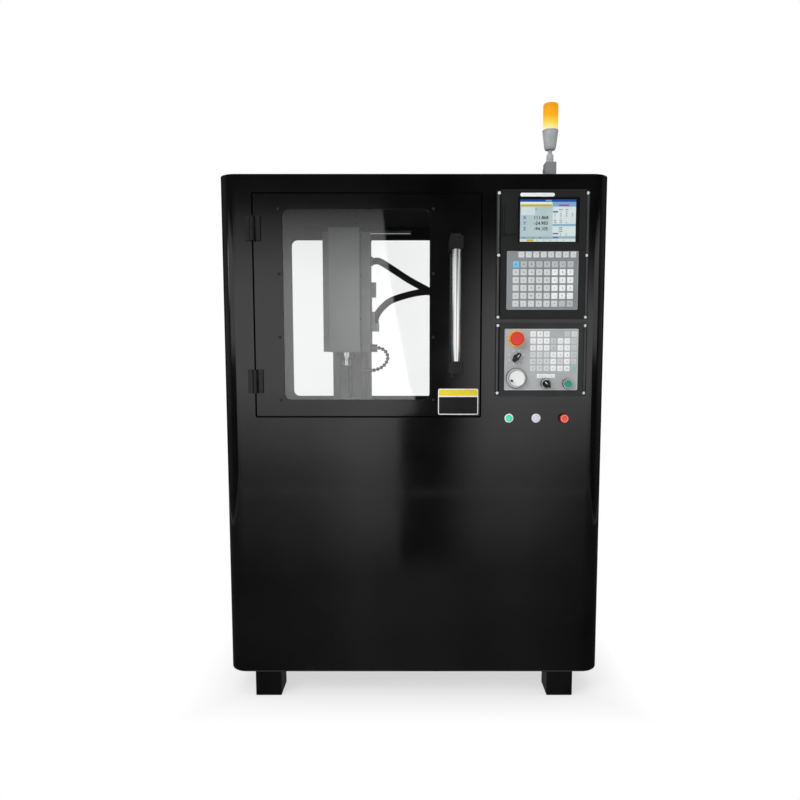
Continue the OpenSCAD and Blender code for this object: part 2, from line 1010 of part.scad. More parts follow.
module window_screws() {
    color(dark_col)
        window_screw_places()
            screw_and_nut(0, sheet_t + pane_t);
}

module handle_bar() {
    half = handle_len / 2 - bar_inset;
    color(steel_col)
        rod_z(handle_x, bar_d, [door_cz - half, door_cz + half], handle_d / 2);
}

// Bracket at one end of the handle; side is 1 for the top and -1 for the bottom
module handle_bracket(side) {
    socket = handle_len / 2 - bracket_foot - bracket_h;
    translate([handle_x, 0, door_cz])
        mirror([0, 0, side < 0 ? 1 : 0])
            difference() {
                union() {
                    bar(0, bracket_w, [-handle_out, 0], [socket, socket + bracket_h]);
                    bar(0, bracket_w - 8, [-bracket_foot_t, 0], [socket, socket + bracket_h + bracket_foot]);
                }
                rod_z(0, bar_d, [socket - 1, handle_len / 2 - bar_inset], handle_d / 2 + bar_fit);
            }
}

module handle_brackets() {
    color(dark_col)
        for (side = [-1, 1])
            handle_bracket(side);
}

// Bracket of the beacon: two ears with a web in front, which the sleeve clears as it folds
module beacon_bracket() {
    outer = ear_gap + ear_t;
    web_d = beacon_d - ear_w / 2;
    color(cast_col) {
        bar(beacon_x, base_plate[0], about(beacon_d, base_plate[1]), [cab_top, cab_top + base_plate[2]]);
        bar(beacon_x, 2 * outer, [web_d, web_d + web_t], [cab_top, ear_z1]);
        for (s = [-1, 1])
            bar(beacon_x + s * (ear_gap + ear_t / 2), ear_t, about(beacon_d, ear_w), [cab_top, ear_z1]);
        rod_x([beacon_x - outer - pivot_out, beacon_x + outer + pivot_out], beacon_d, pivot_z, pivot_r);
        rod_x([beacon_x - outer - pivot_head[1], beacon_x - outer], beacon_d, pivot_z, pivot_head[0]);
    }
}

module beacon_stem() {
    color(cast_col)
        difference() {
            union() {
                rod_z(beacon_x, beacon_d, sleeve_z, sleeve_r);
                rod_z(beacon_x, beacon_d, [sleeve_z[1], cone_z0], neck_r);
                translate([beacon_x, fy(beacon_d), cone_z0])
                    cylinder(h = lens_z0 - cone_z0, r1 = 0.74 * lens_d / 2, r2 = lens_d / 2 + 1);
            }
            rod_x([beacon_x - 2 * sleeve_r, beacon_x + 2 * sleeve_r], beacon_d, pivot_z, pivot_r + run_gap);
        }
}

// Hollow lens with a rounded top edge
module beacon_lens() {
    r = lens_d / 2;
    edge = 5;
    wall = 2.5;
    crown = wall + 4;
    color([1, 0.5, 0, 0.8])
        translate([beacon_x, fy(beacon_d), lens_z0])
            rotate_extrude()
                difference() {
                    union() {
                        square([r, lens_h - edge]);
                        square([r - edge, lens_h]);
                        translate([r - edge, lens_h - edge])
                            intersection() {
                                circle(edge);
                                square(edge);
                            }
                    }
                    translate([-1, -1])
                        square([r - wall + 1, lens_h - crown]);
                }
}

module work_light() {
    color(pale_col)
        block(light_x, [rear_in - light_t, rear_in], [light_z - light_h / 2, light_z + light_h / 2]);
}

// Hollow base casting with the channel and the end bearings of the Y screw
module machine_base() {
    wall = 16;
    lug_top = saddle_under - 2;
    far = column_d - 5;
    color(cast_col)
        difference() {
            union() {
                bar(mill_x, base_w, [base_d0, base_d1], [shell_z0, base_top]);
                for (d = [base_d0, far - lug_t])
                    bar(mill_x, channel_w - 4, [d, d + lug_t], [base_top - channel_h, lug_top]);
            }
            bar(mill_x, base_w - 2 * wall, [base_d0 + wall, base_d1 - wall],
                [shell_z0 - 1, base_top - channel_h - wall]);
            bar(mill_x, channel_w, [base_d0 + lug_t, far - lug_t], [base_top - channel_h, base_top + 1]);
            rod_y(mill_x, [base_d0 - 1, far + 1], y_screw_z, screw_d / 2 + run_gap);
        }
}

// Hollow column with the end bearings of the Z screw and the motor bracket
module column() {
    cavity_w = column_w - 2 * column_wall;
    far = column_d + column_t;
    color(cast_col)
        difference() {
            union() {
                bar(mill_x, column_w, [column_d, far], [base_top, column_z1]);
                for (z = [z_lug, column_z1 - lug_t])
                    bar(mill_x, z_lug_w, [z_screw_d - z_lug_out, column_d + 1], [z, z + lug_t]);
                bar(mill_x, mount_w, mount_d, [column_z1, motor_z]);
                bar(mill_x, mount_w, [z_screw_d - mount_out, mount_d[1]], [motor_z - mount_t, motor_z]);
            }
            bar(mill_x, cavity_w, [column_d + column_wall, far - column_wall],
                [base_top - 1, column_z1 - column_wall]);
            rod_z(mill_x, z_screw_d, [z_lug - 1, motor_z + 1], screw_d / 2 + run_gap);
        }
}

module guide_rails() {
    color(steel_col)
        for (s = [-1, 1]) {
            bar(mill_x + s * y_rail_x, rail_w, [base_d0 + 25, column_d - 2], [base_top, base_top + rail_h]);
            bar(mill_x + s * z_rail_x, rail_w, [column_d - rail_h, column_d], [z_low, column_z1 - 5]);
        }
}

// Servo motor along +Z with its flange on z = 0
module motor(l) {
    linear_extrude(motor_flange)
        round_rect(motor_w, motor_w, 3);
    translate([0, 0, motor_flange])
        linear_extrude(l - motor_flange - motor_cap)
            round_rect(motor_w - 2, motor_w - 2, 8);
    translate([0, 0, l - motor_cap])
        linear_extrude(motor_cap)
            round_rect(motor_w - 8, motor_w - 8, 6);
}

module axis_motors() {
    color(dark_col) {
        translate([mill_x, fy(base_d0), y_screw_z])
            rotate([90, 0, 0])
                motor(motor_l);
        translate([mill_x, fy(z_screw_d), motor_z])
            motor(motor_l + 16);
    }
}

// Plate with carriages below for the Y rails and above for the X rails, and both screw nuts
module saddle() {
    d = about(axis_d, saddle_l);
    nut = screw_d / 2 + seat_gap;
    color(cast_col)
        difference() {
            union() {
                bar(mill_x, saddle_w, d, [saddle_under, saddle_top]);
                for (s = [-1, 1]) {
                    bar(mill_x + s * y_rail_x, pad_w, d, [base_top + 4, saddle_under]);
                    bar(mill_x, saddle_w, about(axis_d + s * x_rail_d, pad_w), [saddle_top, table_under - 4]);
                }
                bar(mill_x, y_nut[0], about(axis_d, y_nut[1]), [base_top - y_nut[2], saddle_under]);
                bar(mill_x, x_nut[0], about(axis_d, x_nut[1]), [saddle_top, table_under - x_nut[2]]);
            }
            for (s = [-1, 1]) {
                bar(mill_x + s * y_rail_x, rail_w + 2 * slide_gap, [d[0] - 1, d[1] + 1],
                    [base_top, base_top + rail_h + slide_gap]);
                bar(mill_x, saddle_w + 2, about(axis_d + s * x_rail_d, rail_w + 2 * slide_gap),
                    [table_under - rail_h - slide_gap, table_under]);
            }
            rod_y(mill_x, [d[0] - 1, d[1] + 1], y_screw_z, nut);
            rod_x([mill_x - saddle_w, mill_x + saddle_w], axis_d, x_screw_z, nut);
        }
}

// Table with three T-slots and the end bearings of the X screw
module table() {
    half = table_l / 2;
    color(steel_col)
        difference() {
            union() {
                bar(mill_x, table_l, about(axis_d, table_w), [table_under, table_z]);
                for (s = [-1, 1])
                    bar(mill_x + s * (half - lug_t / 2), lug_t, about(axis_d, x_nut[1]),
                        [saddle_top + 3, table_under]);
            }
            for (i = [-1:1]) {
                d = axis_d + i * slot_pitch;
                neck_z = table_z - slot_neck_h;
                bar(mill_x, table_l + 2, about(d, slot_neck), [neck_z, table_z + 1]);
                bar(mill_x, table_l + 2, about(d, slot_head), [neck_z - slot_head_h, neck_z]);
            }
            rod_x([mill_x - table_l, mill_x + table_l], axis_d, x_screw_z, screw_d / 2 + run_gap);
        }
}

module x_rails() {
    color(steel_col)
        for (s = [-1, 1])
            bar(mill_x, table_l - 10, about(axis_d + s * x_rail_d, rail_w), [table_under - rail_h, table_under]);
}

module x_motor() {
    color(dark_col)
        translate([mill_x + table_l / 2, fy(axis_d), x_screw_z])
            rotate([0, 90, 0])
                motor(motor_l);
}

module x_screw() {
    half = table_l / 2 - seat_gap;
    color(steel_col)
        rod_x([mill_x - half, mill_x + half], axis_d, x_screw_z, screw_d / 2);
}

module y_screw() {
    color(steel_col)
        rod_y(mill_x, [base_d0 + seat_gap, column_d - 6], y_screw_z, screw_d / 2);
}

// Z screw with the coupling to its motor
module z_screw() {
    color(steel_col) {
        rod_z(mill_x, z_screw_d, [z_lug + 1, motor_z - seat_gap], screw_d / 2);
        rod_z(mill_x, z_screw_d, [column_z1 + 2, motor_z - 14], screw_d);
    }
}

// Head casting: spindle housing in front, carriages for the Z rails behind, nut of the Z screw
module head_body() {
    color(cast_col)
        difference() {
            union() {
                bar(mill_x, head_w, [head_d0, head_d1], [head_z0, head_z1]);
                rod_z(mill_x, axis_d, [head_z0, head_z1], housing_r);
                for (s = [-1, 1])
                    bar(mill_x + s * z_rail_x, pad_w, [head_d1 - 1, pad_d1], [head_z0, head_z1]);
                bar(mill_x, z_nut[0], [head_d1 - 1, column_d - 2], [head_z0 + z_nut[1], head_z1 - z_nut[1]]);
                block([head_right - 1, head_right + arm_out], arm_d, [arm_z[0], head_z1 - slide_gap]);
                block([head_right + slide_gap, head_right + arm_out], arm_d, arm_z);
            }
            for (s = [-1, 1])
                bar(mill_x + s * z_rail_x, rail_w + 2 * slide_gap, [column_d - rail_h - slide_gap, column_d],
                    [head_z0 - 1, head_z1 + 1]);
            rod_z(mill_x, z_screw_d, [head_z0 - 1, head_z1 + 1], screw_d / 2 + seat_gap);
            rod_z(mill_x, axis_d, [head_z0 - 1, head_z1 - spindle_short], spindle_r + run_gap);
        }
}

// Folded hood: a narrow front box over the spindle housing and a wide box on top of the casting
module head_cover() {
    t = sheet_t;
    inner_w = cover_w - 2 * t;
    color(cast_col)
        difference() {
            union() {
                bar(mill_x, cover_w, [cover_d, head_d0], [head_z0, cover_z1]);
                bar(mill_x, head_w, [head_d0, cover_back], [head_z1, cover_z1]);
                rod_x([head_right - 1, head_right + boss_l], upper_d, upper_z, conduit_d / 2 + 4);
            }
            bar(mill_x, inner_w, [cover_d + t, head_d0 + 2 * t], [head_z0 - 1, cover_z1 - t]);
            bar(mill_x, head_w - 2 * t, [head_d0 + t, cover_back - t], [head_z1 - 1, cover_z1 - t]);
        }
}

module spindle_motor() {
    color(dark_col)
        translate([mill_x, fy(axis_d), head_z1])
            linear_extrude(spindle_motor_l)
                round_rect(spindle_motor_w, spindle_motor_w, 8);
}

// Spindle with its nose and collet nut, bored for a tool shank
module spindle() {
    color(steel_col)
        difference() {
            union() {
                rod_z(mill_x, axis_d, [nose_z + nose_l, head_z1 - spindle_short - seat_gap], spindle_r);
                rod_z(mill_x, axis_d, [nose_z + nose_l, head_z0 - seat_gap], flange_r);
                rod_z(mill_x, axis_d, [nose_z, nose_z + nose_l + 1], nose_r);
            }
            rod_z(mill_x, axis_d, [nose_z - 1, nose_z + collet_l], collet_r);
        }
}

// Coolant strip on the side of the head, the socket of the lower conduit and the swivel that carries the hose
module coolant_manifold() {
    color(cast_col) {
        block([head_right, head_right + manifold_out], about(manifold_d, manifold_w), manifold_z);
        block([head_right, head_right + socket_out], about(socket_d, socket_w), [manifold_z[0], socket_z1]);
        rod_x([head_right, head_right + swivel_l], swivel_d, swivel_z, swivel_r);
    }
}

// Catmull-Rom point and direction on span i of a route, u from 0 to 1
function route_at(p, i) = i < 0 ? 2 * p[0] - p[1]
    : i >= len(p) ? 2 * p[len(p) - 1] - p[len(p) - 2]
    : p[i];
function span_point(a, b, c, d, u) =
    (2 * b + (c - a) * u + (2 * a - 5 * b + 4 * c - d) * u * u + (3 * b - a - 3 * c + d) * u * u * u) / 2;
function span_dir(a, b, c, d, u) =
    ((c - a) + 2 * (2 * a - 5 * b + 4 * c - d) * u + 3 * (3 * b - a - 3 * c + d) * u * u) / 2;
function route_span(p, i) = [for (k = [-1:2]) route_at(p, i + k)];
function unit(v) = v / norm(v);

// Tube swept along a route of points, each with its radius, with steps rings on each span
module tube(route, radii, steps = 4, sides = 12) {
    spans = len(route) - 1;
    stations = [for (i = [0:spans - 1], k = [0:steps - 1]) [i, k / steps]];
    all = concat(stations, [[spans - 1, 1]]);
    rings = [for (s = all)
        let (q = route_span(route, s[0]),
            c = span_point(q[0], q[1], q[2], q[3], s[1]),
            t = unit(span_dir(q[0], q[1], q[2], q[3], s[1])),
            r = radii[s[0]] * (1 - s[1]) + radii[s[0] + 1] * s[1],
            side = unit(cross([0, 1, 0], t)),
            up = cross(t, side))
        [for (j = [0:sides - 1]) c + r * (cos(360 * j / sides) * side + sin(360 * j / sides) * up)]];
    n = len(rings);
    points = [for (ring = rings, q = ring) q];
    walls = [for (i = [0:n - 2], j = [0:sides - 1])
        let (k = (j + 1) % sides, a = i * sides, b = a + sides)
        each [[a + j, b + j, b + k], [a + j, b + k, a + k]]];
    first = [for (j = [0:sides - 1]) j];
    last = [for (j = [sides - 1:-1:0]) (n - 1) * sides + j];
    polyhedron(points, concat(walls, [first, last]));
}

// Coolant hose with its tapered nozzle
module coolant_hose() {
    last = len(hose_route) - 1;
    color("slategray")
        translate(at_depth([head_right + swivel_l, swivel_d, swivel_z]))
            tube(hose_route, [for (i = [0:last]) i < last ? hose_r : nozzle_r], 2);
}

module conduit_upper() {
    color(dark_col)
        tube([for (p = upper_route) at_depth(p)], [for (p = upper_route) conduit_d / 2]);
}

module conduit_lower() {
    color(dark_col)
        tube([for (p = lower_route) at_depth(p)], [for (p = lower_route) conduit_d / 2]);
}

// Cable gland along +Z, its wall face on z = 0 and its thread through a wall of thickness wall
module gland(l, wall) {
    difference() {
        union() {
            cylinder(h = gland_hex_h, r = gland_hex_r, $fn = 6);
            cylinder(h = l, r = gland_r);
            translate([0, 0, -wall - gland_thread_l])
                cylinder(h = wall + gland_thread_l + 1, r = thread_r);
            translate([0, 0, -wall - gland_nut_h])
                cylinder(h = gland_nut_h, r = gland_hex_r, $fn = 6);
        }
        translate([0, 0, -wall - gland_thread_l - 1])
            cylinder(h = l + wall + gland_thread_l + 2, r = gland_bore_r);
    }
}

module cable_glands() {
    color(dark_col) {
        for (p = [upper_wall, lower_wall])
            translate([part_x, fy(p[0]), p[1]])
                rotate([0, -90, 0])
                    gland(gland_l, sheet_t);
        translate([mains_x, fy(cab_d), mains_z])
            rotate([-90, 0, 0])
                gland(gland_out, sheet_t);
    }
}

front_panel();
side_panel_left();
side_panel_right();
rear_panel();
roof_panel();
floor_pan();
feet();
partition_wall();
rear_window();
cabinet_screws();
door_seal();
chip_tray();
control_panel_upper();
display_screen();
keypad_upper();
port_cover();
control_panel_lower();
keypad_lower();
button_bezels();
estop_ring();
estop_button();
override_knob();
handwheel_dial();
handwheel();
selector_knob();
start_button();
power_on_button();
white_button();
power_off_button();
hinge_frame_leaves();
hinge_door_leaves();
door_panel();
door_window();
window_screws();
handle_bar();
handle_brackets();
beacon_bracket();
beacon_stem();
beacon_lens();
work_light();
machine_base();
column();
guide_rails();
axis_motors();
saddle();
table();
x_rails();
x_motor();
x_screw();
y_screw();
z_screw();
head_body();
head_cover();
spindle_motor();
spindle();
coolant_manifold();
coolant_hose();
conduit_upper();
conduit_lower();
cable_glands();
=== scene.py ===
import math

import bmesh
import bpy
from bpy.props import FloatProperty, FloatVectorProperty, IntProperty, PointerProperty
from mathutils import Matrix, Vector


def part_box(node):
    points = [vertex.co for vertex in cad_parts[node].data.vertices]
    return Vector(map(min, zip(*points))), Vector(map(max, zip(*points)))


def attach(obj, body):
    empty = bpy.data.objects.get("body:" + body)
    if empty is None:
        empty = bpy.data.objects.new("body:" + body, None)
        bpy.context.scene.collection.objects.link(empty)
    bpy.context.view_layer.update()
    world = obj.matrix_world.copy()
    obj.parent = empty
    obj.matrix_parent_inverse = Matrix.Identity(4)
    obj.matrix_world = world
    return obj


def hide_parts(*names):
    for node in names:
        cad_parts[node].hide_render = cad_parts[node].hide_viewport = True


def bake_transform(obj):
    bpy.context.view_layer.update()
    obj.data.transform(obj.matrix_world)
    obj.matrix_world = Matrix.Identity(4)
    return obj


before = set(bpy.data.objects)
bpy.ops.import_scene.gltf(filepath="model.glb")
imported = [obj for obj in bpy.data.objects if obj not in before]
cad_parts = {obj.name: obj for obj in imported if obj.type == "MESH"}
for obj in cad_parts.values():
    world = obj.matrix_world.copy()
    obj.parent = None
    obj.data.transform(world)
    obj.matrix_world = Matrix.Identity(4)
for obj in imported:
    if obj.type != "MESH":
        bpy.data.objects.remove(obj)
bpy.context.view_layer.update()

bl_info = {
    "name": "Machining center looks",
    "version": (1, 0, 0),
    "blender": (4, 5, 0),
    "location": "3D View > Sidebar > Machine",
    "description": "Gives the machining center its detail pieces, finishes and studio",
    "category": "Object",
}

# Lengths in the piece code are millimetres in the machine's frame. Depths run back from the front
# skin, so what stands out of it has a negative depth.
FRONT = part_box("front_panel")[0].y * 1000
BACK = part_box("rear_panel")[1].y * 1000 - FRONT
MILL_X = -240.0
AXIS_D = 375.0
HEAD_RIGHT = -156.0
WALL_X = 202.0
DOOR_MID = 1203.25

# Operator station: its middle, the fronts of its frames and key sheets, and its screws and controls.
PANEL_X = 376.5
FRAME_FACE = -3.0
FACE = -8.0
SCREW_LEVELS = (1529.5, 1351.5, 1172.0, 1147.0, 947.5)
STOP_AT = (302.0, 1108.5)
OVERRIDE_AT = (303.0, 1053.5)
WHEEL_AT = (303.0, 992.0)
SELECTOR_AT = (390.0, 976.0)
START_AT = (455.0, 976.0)
ON_AT = (284.0, 872.0)
WHITE_AT = (365.0, 872.0)
OFF_AT = (447.0, 872.0)

# Inside of the cabinet in metres: its round front corners, and its back, floor and top.
CORNER_X, CORNER_Y, CORNER_R = 0.52, -0.364, 0.0542
INSIDE_BACK, INSIDE_FLOOR, INSIDE_TOP = 0.4502, 0.0836, 1.5842
# Half the cabinet's width and depth on the floor, in metres.
FOOT_X, FOOT_Y = 0.575, 0.435

# Studio in metres: height of the camera, reach of the mirrored front card against the front skin,
# and places of the cards.
EYE_Z = 1.093
MIRROR = 2.4586
CARD_TOP = 3.5
CARD_FRONT, CARD_BACK, CARD_SIDE = -3.2, 4.5, 2.6
# Span that the noise mostly keeps to.
NOISE_LOW, NOISE_HIGH = 0.3, 0.7


def swatch(name, description, default):
    return FloatVectorProperty(name=name, description=description, default=default, subtype="COLOR",
                               size=3, min=0.0, max=1.0)


def length(name, description, default):
    return FloatProperty(name=name, description=description, default=default, min=0.0, unit="LENGTH",
                         precision=4)


class MachineColors(bpy.types.PropertyGroup):
    """Colours of the machine's finishes"""

    paint: swatch("Cabinet paint", "Powder coat of the cabinet and the door", (0.0032, 0.0032, 0.0034))
    upper_frame: swatch("Upper frame", "Coat of the frame round the display", (0.008, 0.0085, 0.0095))
    lower_frame: swatch("Lower frame", "Coat of the frame round the lower keys", (0.02, 0.021, 0.0225))
    cover: swatch("Head cover", "Coat of the hood over the spindle", (0.325, 0.345, 0.355))
    casting: swatch("Castings", "Coat of the base, the column and the head", (0.42, 0.44, 0.45))
    upper_sheet: swatch("Upper key sheet", "Membrane of the upper key panel", (0.235, 0.25, 0.26))
    lower_sheet: swatch("Lower key sheet", "Membrane of the lower key panel", (0.42, 0.435, 0.445))
    key: swatch("Keys", "Most keys of the two key panels", (0.62, 0.64, 0.65))
    key_white: swatch("White keys", "Number keys and axis keys", (0.82, 0.83, 0.84))
    key_grey: swatch("Grey keys", "Keys of the page and mode groups", (0.47, 0.49, 0.495))
    key_blue: swatch("Blue key", "First key of the upper panel", (0.17, 0.55, 0.82))
    key_green: swatch("Green key", "Last key of the lower panel", (0.27, 0.50, 0.42))
    stop_red: swatch("Stop button", "Mushroom head of the emergency stop", (0.70, 0.034, 0.018))
    stop_yellow: swatch("Stop ring", "Ring under the emergency stop", (0.82, 0.46, 0.03))
    start_teal: swatch("Start button", "Lens of the start button", (0.004, 0.235, 0.165))
    on_green: swatch("Power button", "Lens of the power button", (0.035, 0.76, 0.40))
    off_red: swatch("Off button", "Cap of the off button", (0.83, 0.07, 0.045))
    amber: swatch("Beacon lens", "Upper part of the beacon's lens", (1.0, 0.42, 0.006))
    beacon: swatch("Beacon housing", "Plastic of the beacon's stem and bracket", (0.42, 0.44, 0.45))
    hose: swatch("Coolant hose", "Beads of the coolant hose", (0.09, 0.088, 0.086))
    nozzle: swatch("Coolant nozzle", "Tip of the coolant hose", (0.45, 0.25, 0.22))


class MachineSizes(bpy.types.PropertyGroup):
    """Sizes of the fine detail"""

    ripple_pitch: length("Conduit ripple", "Distance from ripple to ripple on the conduits", 0.0056)
    ripple_depth: length("Conduit groove", "Depth of the grooves between the ripples", 0.0012)
    bead_pitch: length("Hose bead", "Length of one bead of the coolant hose", 0.0146)
    bead_waist: length("Hose waist", "Radius between two beads of the coolant hose", 0.0026)
    key_edge: length("Key edge", "Rounding of the edges of the keys", 0.0006)
    screw_lead: length("Screw lead", "Travel of the ball screws in one turn", 0.005)
    screw_groove: length("Screw groove", "Depth of the ball screws' groove", 0.0014)
    lens_ribs: IntProperty(name="Lens ribs", description="Upright ribs round the beacon's lens", default=36,
                           min=6, max=120)


class MachineStudio(bpy.types.PropertyGroup):
    """Camera and light"""

    focal: FloatProperty(name="Focal length", description="Focal length in millimetres on a 36 mm sensor",
                         default=28.8, min=10.0, unit="CAMERA")
    shift: FloatProperty(name="Shift", description="Sideways shift of the camera's frame", default=-0.0175)
    eye: FloatVectorProperty(name="Eye", description="Place of the camera", default=(0.0, -2.3256, EYE_Z),
                             size=3, subtype="TRANSLATION")
    tilt: FloatProperty(name="Tilt", description="Downward tilt of the camera", default=math.radians(5.0),
                        subtype="ANGLE")
    daylight: FloatProperty(name="Surrounding light", description="Level of the even light from all sides",
                            default=0.78, min=0.0)
    key_power: FloatProperty(name="Key lamp", description="Power of the soft lamp at the upper left",
                             default=65.0, min=0.0, subtype="POWER")
    floor: swatch("Floor", "Colour of the floor", (0.86, 0.86, 0.86))


def colors():
    return bpy.context.scene.machine_colors


def sizes():
    return bpy.context.scene.machine_sizes


def studio():
    return bpy.context.scene.machine_studio


# Finishes


def put(tree, made, **sockets):
    """Set or link a node's inputs by name."""
    for name, value in sockets.items():
        socket = made.inputs[name.replace("_", " ")]
        if isinstance(value, bpy.types.NodeSocket):
            tree.links.new(value, socket)
        else:
            socket.default_value = value
    return made


def node(tree, kind, **sockets):
    return put(tree, tree.nodes.new(kind), **sockets)


def blank(name):
    """New material, its node tree and its surface shader."""
    material = bpy.data.materials.new(name)
    material.use_nodes = True
    return material, material.node_tree, material.node_tree.nodes["Principled BSDF"]


def mixed(tree, share, first, second):
    """Surface between two shaders, the second one where share is 1."""
    mix = tree.nodes.new("ShaderNodeMixShader")
    for socket, source in zip(mix.inputs, (share, first.outputs[0], second.outputs[0])):
        tree.links.new(source, socket)
    put(tree, tree.nodes["Material Output"], Surface=mix.outputs["Shader"])


def noise(tree, scale, detail=3.0, streak=None):
    """Noise in the machine's frame, drawn out along an axis where streak says so."""
    place = tree.nodes.new("ShaderNodeTexCoord").outputs["Object"]
    if streak:
        place = node(tree, "ShaderNodeMapping", Vector=place, Scale=streak).outputs["Vector"]
    made = node(tree, "ShaderNodeTexNoise", Vector=place, Scale=scale, Detail=detail)
    return made.outputs["Fac"]


def ramp(tree, source, stops):
    """Colour ramp through (place, colour) stops."""
    made = tree.nodes.new("ShaderNodeValToRGB")
    elements = made.color_ramp.elements
    for i, (place, color) in enumerate(stops):
        element = elements[i] if i < 2 else elements.new(place)
        element.position = place
        element.color = (*color, 1.0)
    tree.links.new(source, made.inputs["Fac"])
    return made.outputs["Color"]


def spread_over(tree, source, low, high, start=NOISE_LOW, end=NOISE_HIGH):
    made = node(tree, "ShaderNodeMapRange", Value=source, From_Min=start, From_Max=end, To_Min=low,
                To_Max=high)
    return made.outputs["Result"]


def roughen(tree, height, strength, distance, before=None):
    made = node(tree, "ShaderNodeBump", Height=height, Strength=strength, Distance=distance)
    if before:
        put(tree, made, Normal=before)
    return made.outputs["Normal"]


def axes(tree):
    """x, y and z in the machine's frame."""
    place = tree.nodes.new("ShaderNodeTexCoord").outputs["Object"]
    return node(tree, "ShaderNodeSeparateXYZ", Vector=place).outputs


def math_node(tree, operation, *values):
    made = tree.nodes.new("ShaderNodeMath")
    made.operation = operation
    for socket, value in zip(made.inputs, values):
        if isinstance(value, (int, float)):
            socket.default_value = value
        else:
            tree.links.new(value, socket)
    return made.outputs["Value"]


def times(tree, a, b):
    return math_node(tree, "MULTIPLY", a, b)


def times_plus(tree, a, b, c):
    return math_node(tree, "MULTIPLY_ADD", a, b, c)


def minus(tree, a, b):
    return math_node(tree, "SUBTRACT", a, b)


def finish(name, color, rough, metal=0.0, specular=0.5, spread=0.12, patch=14.0, wear=0.05, grain=900.0,
           bump=0.12, depth=0.0002, wave=0.0, streak=None, coat=0.0, glow=0.0, body=1.0):
    """Coated, moulded or bare metal surface: uneven colour, uneven gloss and a fine grain."""
    if name in bpy.data.materials:
        return bpy.data.materials[name]
    material, tree, shader = blank(name)
    patches = noise(tree, patch, 5.0, streak)

    def shade(level):
        return ramp(tree, patches, [(NOISE_LOW, [c * level * (1 - spread) for c in color]),
                                    (NOISE_HIGH, [min(c * level * (1 + spread), 1.0) for c in color])])

    gloss = noise(tree, patch * 1.7, 4.0, streak)
    slope = roughen(tree, noise(tree, 22.0, 2.0), wave, 0.002) if wave else None
    put(tree, shader, Metallic=metal, Specular_IOR_Level=specular, Coat_Weight=coat,
        Base_Color=shade(body),
        Roughness=spread_over(tree, gloss, max(rough - wear, 0.02), rough + wear),
        Normal=roughen(tree, noise(tree, grain, 2.0, streak), bump, depth, slope))
    if glow:
        put(tree, shader, Emission_Color=shade(1.0), Emission_Strength=glow)
    return material


def pane_finish(name, ior):
    """Clear pane that lets light through, with faint wipe marks."""
    material, tree, shader = blank(name)
    tint = ramp(tree, noise(tree, 4.0), [(NOISE_LOW, (0.975, 0.982, 0.982)),
                                         (NOISE_HIGH, (0.992, 0.995, 0.995))])
    marks = spread_over(tree, noise(tree, 9.0, 4.0, (1.0, 1.0, 0.25)), 0.0, 0.012)
    put(tree, shader, Transmission_Weight=1.0, IOR=ior, Base_Color=tint, Roughness=marks)
    shadow = tree.nodes.new("ShaderNodeLightPath").outputs["Is Shadow Ray"]
    mixed(tree, shadow, shader, tree.nodes.new("ShaderNodeBsdfTransparent"))
    return material


def lens_finish():
    """Lit amber plastic: pale yellow over the lamp, deep amber at the top."""
    material, tree, shader = blank("lit_amber_lens")
    low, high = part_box("beacon_lens")
    rise = spread_over(tree, axes(tree)["Z"], 0.0, 0.9, low.z, high.z)
    drift = times_plus(tree, noise(tree, 60.0, 2.0, (1.0, 1.0, 0.12)), 0.16, rise)
    amber = Vector(colors().amber)
    stops = [(0.08, Vector((1.0, 0.84, 0.38))), (0.3, Vector((1.0, 0.66, 0.07))), (0.56, amber),
             (0.95, amber * 0.8)]
    put(tree, shader, Specular_IOR_Level=0.4, Emission_Strength=0.76,
        Base_Color=ramp(tree, drift, [(p, c * 0.3) for p, c in stops]),
        Emission_Color=ramp(tree, drift, stops),
        Roughness=spread_over(tree, noise(tree, 40.0), 0.12, 0.22),
        Normal=roughen(tree, noise(tree, 500.0), 0.08, 0.0002))
    return material


def powder_coat():
    """Black coat, glossy outside and dull on the faces inside the cabinet."""
    name = "black_powder_coat"
    if name in bpy.data.materials:
        return bpy.data.materials[name]
    material = finish(name, colors().paint, 0.09, specular=0.72, spread=0.35, patch=7.0, wear=0.02,
                      grain=480.0, bump=0.16, depth=0.0001, wave=0.03)
    tree = material.node_tree
    rough = tree.nodes["Principled BSDF"].inputs["Roughness"]
    x, y, z = axes(tree)
    side = math_node(tree, "MAXIMUM", minus(tree, math_node(tree, "ABSOLUTE", x), CORNER_X), 0.0)
    ahead = math_node(tree, "MAXIMUM", minus(tree, CORNER_Y, y), 0.0)
    reach = times_plus(tree, side, side, times(tree, ahead, ahead))
    inside = math_node(tree, "LESS_THAN", reach, CORNER_R ** 2)
    for operation, value, limit in (("LESS_THAN", y, INSIDE_BACK), ("GREATER_THAN", z, INSIDE_FLOOR),
                                    ("LESS_THAN", z, INSIDE_TOP)):
        inside = times(tree, inside, math_node(tree, operation, value, limit))
    tree.links.new(times_plus(tree, inside, 0.75, rough.links[0].from_socket), rough)
    return material


def panel_coat(name, color):
    return finish(name, color, 0.42, spread=0.2, wear=0.06, grain=1500.0, bump=0.12, depth=0.0001)


def dark_screw():
    return finish("blackened_screw", (0.03, 0.03, 0.032), 0.34, metal=0.6, patch=120.0, grain=3000.0)


def hard_black():
    return finish("hard_black_plastic", (0.006, 0.006, 0.0065), 0.34, spread=0.25, patch=60.0, grain=2200.0,
                  bump=0.2)


def rubber():
    return finish("conduit_rubber", (0.008, 0.008, 0.008), 0.62, specular=0.35, spread=0.3, patch=40.0,
                  grain=1600.0)


def bright_steel():
    return finish("ground_steel", (0.60, 0.61, 0.62), 0.24, metal=1.0, spread=0.1, patch=30.0, grain=1400.0,
                  bump=0.1)


def pale_screw():
    return finish("pale_screw", (0.84, 0.85, 0.86), 0.3, metal=0.1, spread=0.08, patch=120.0, grain=3000.0)


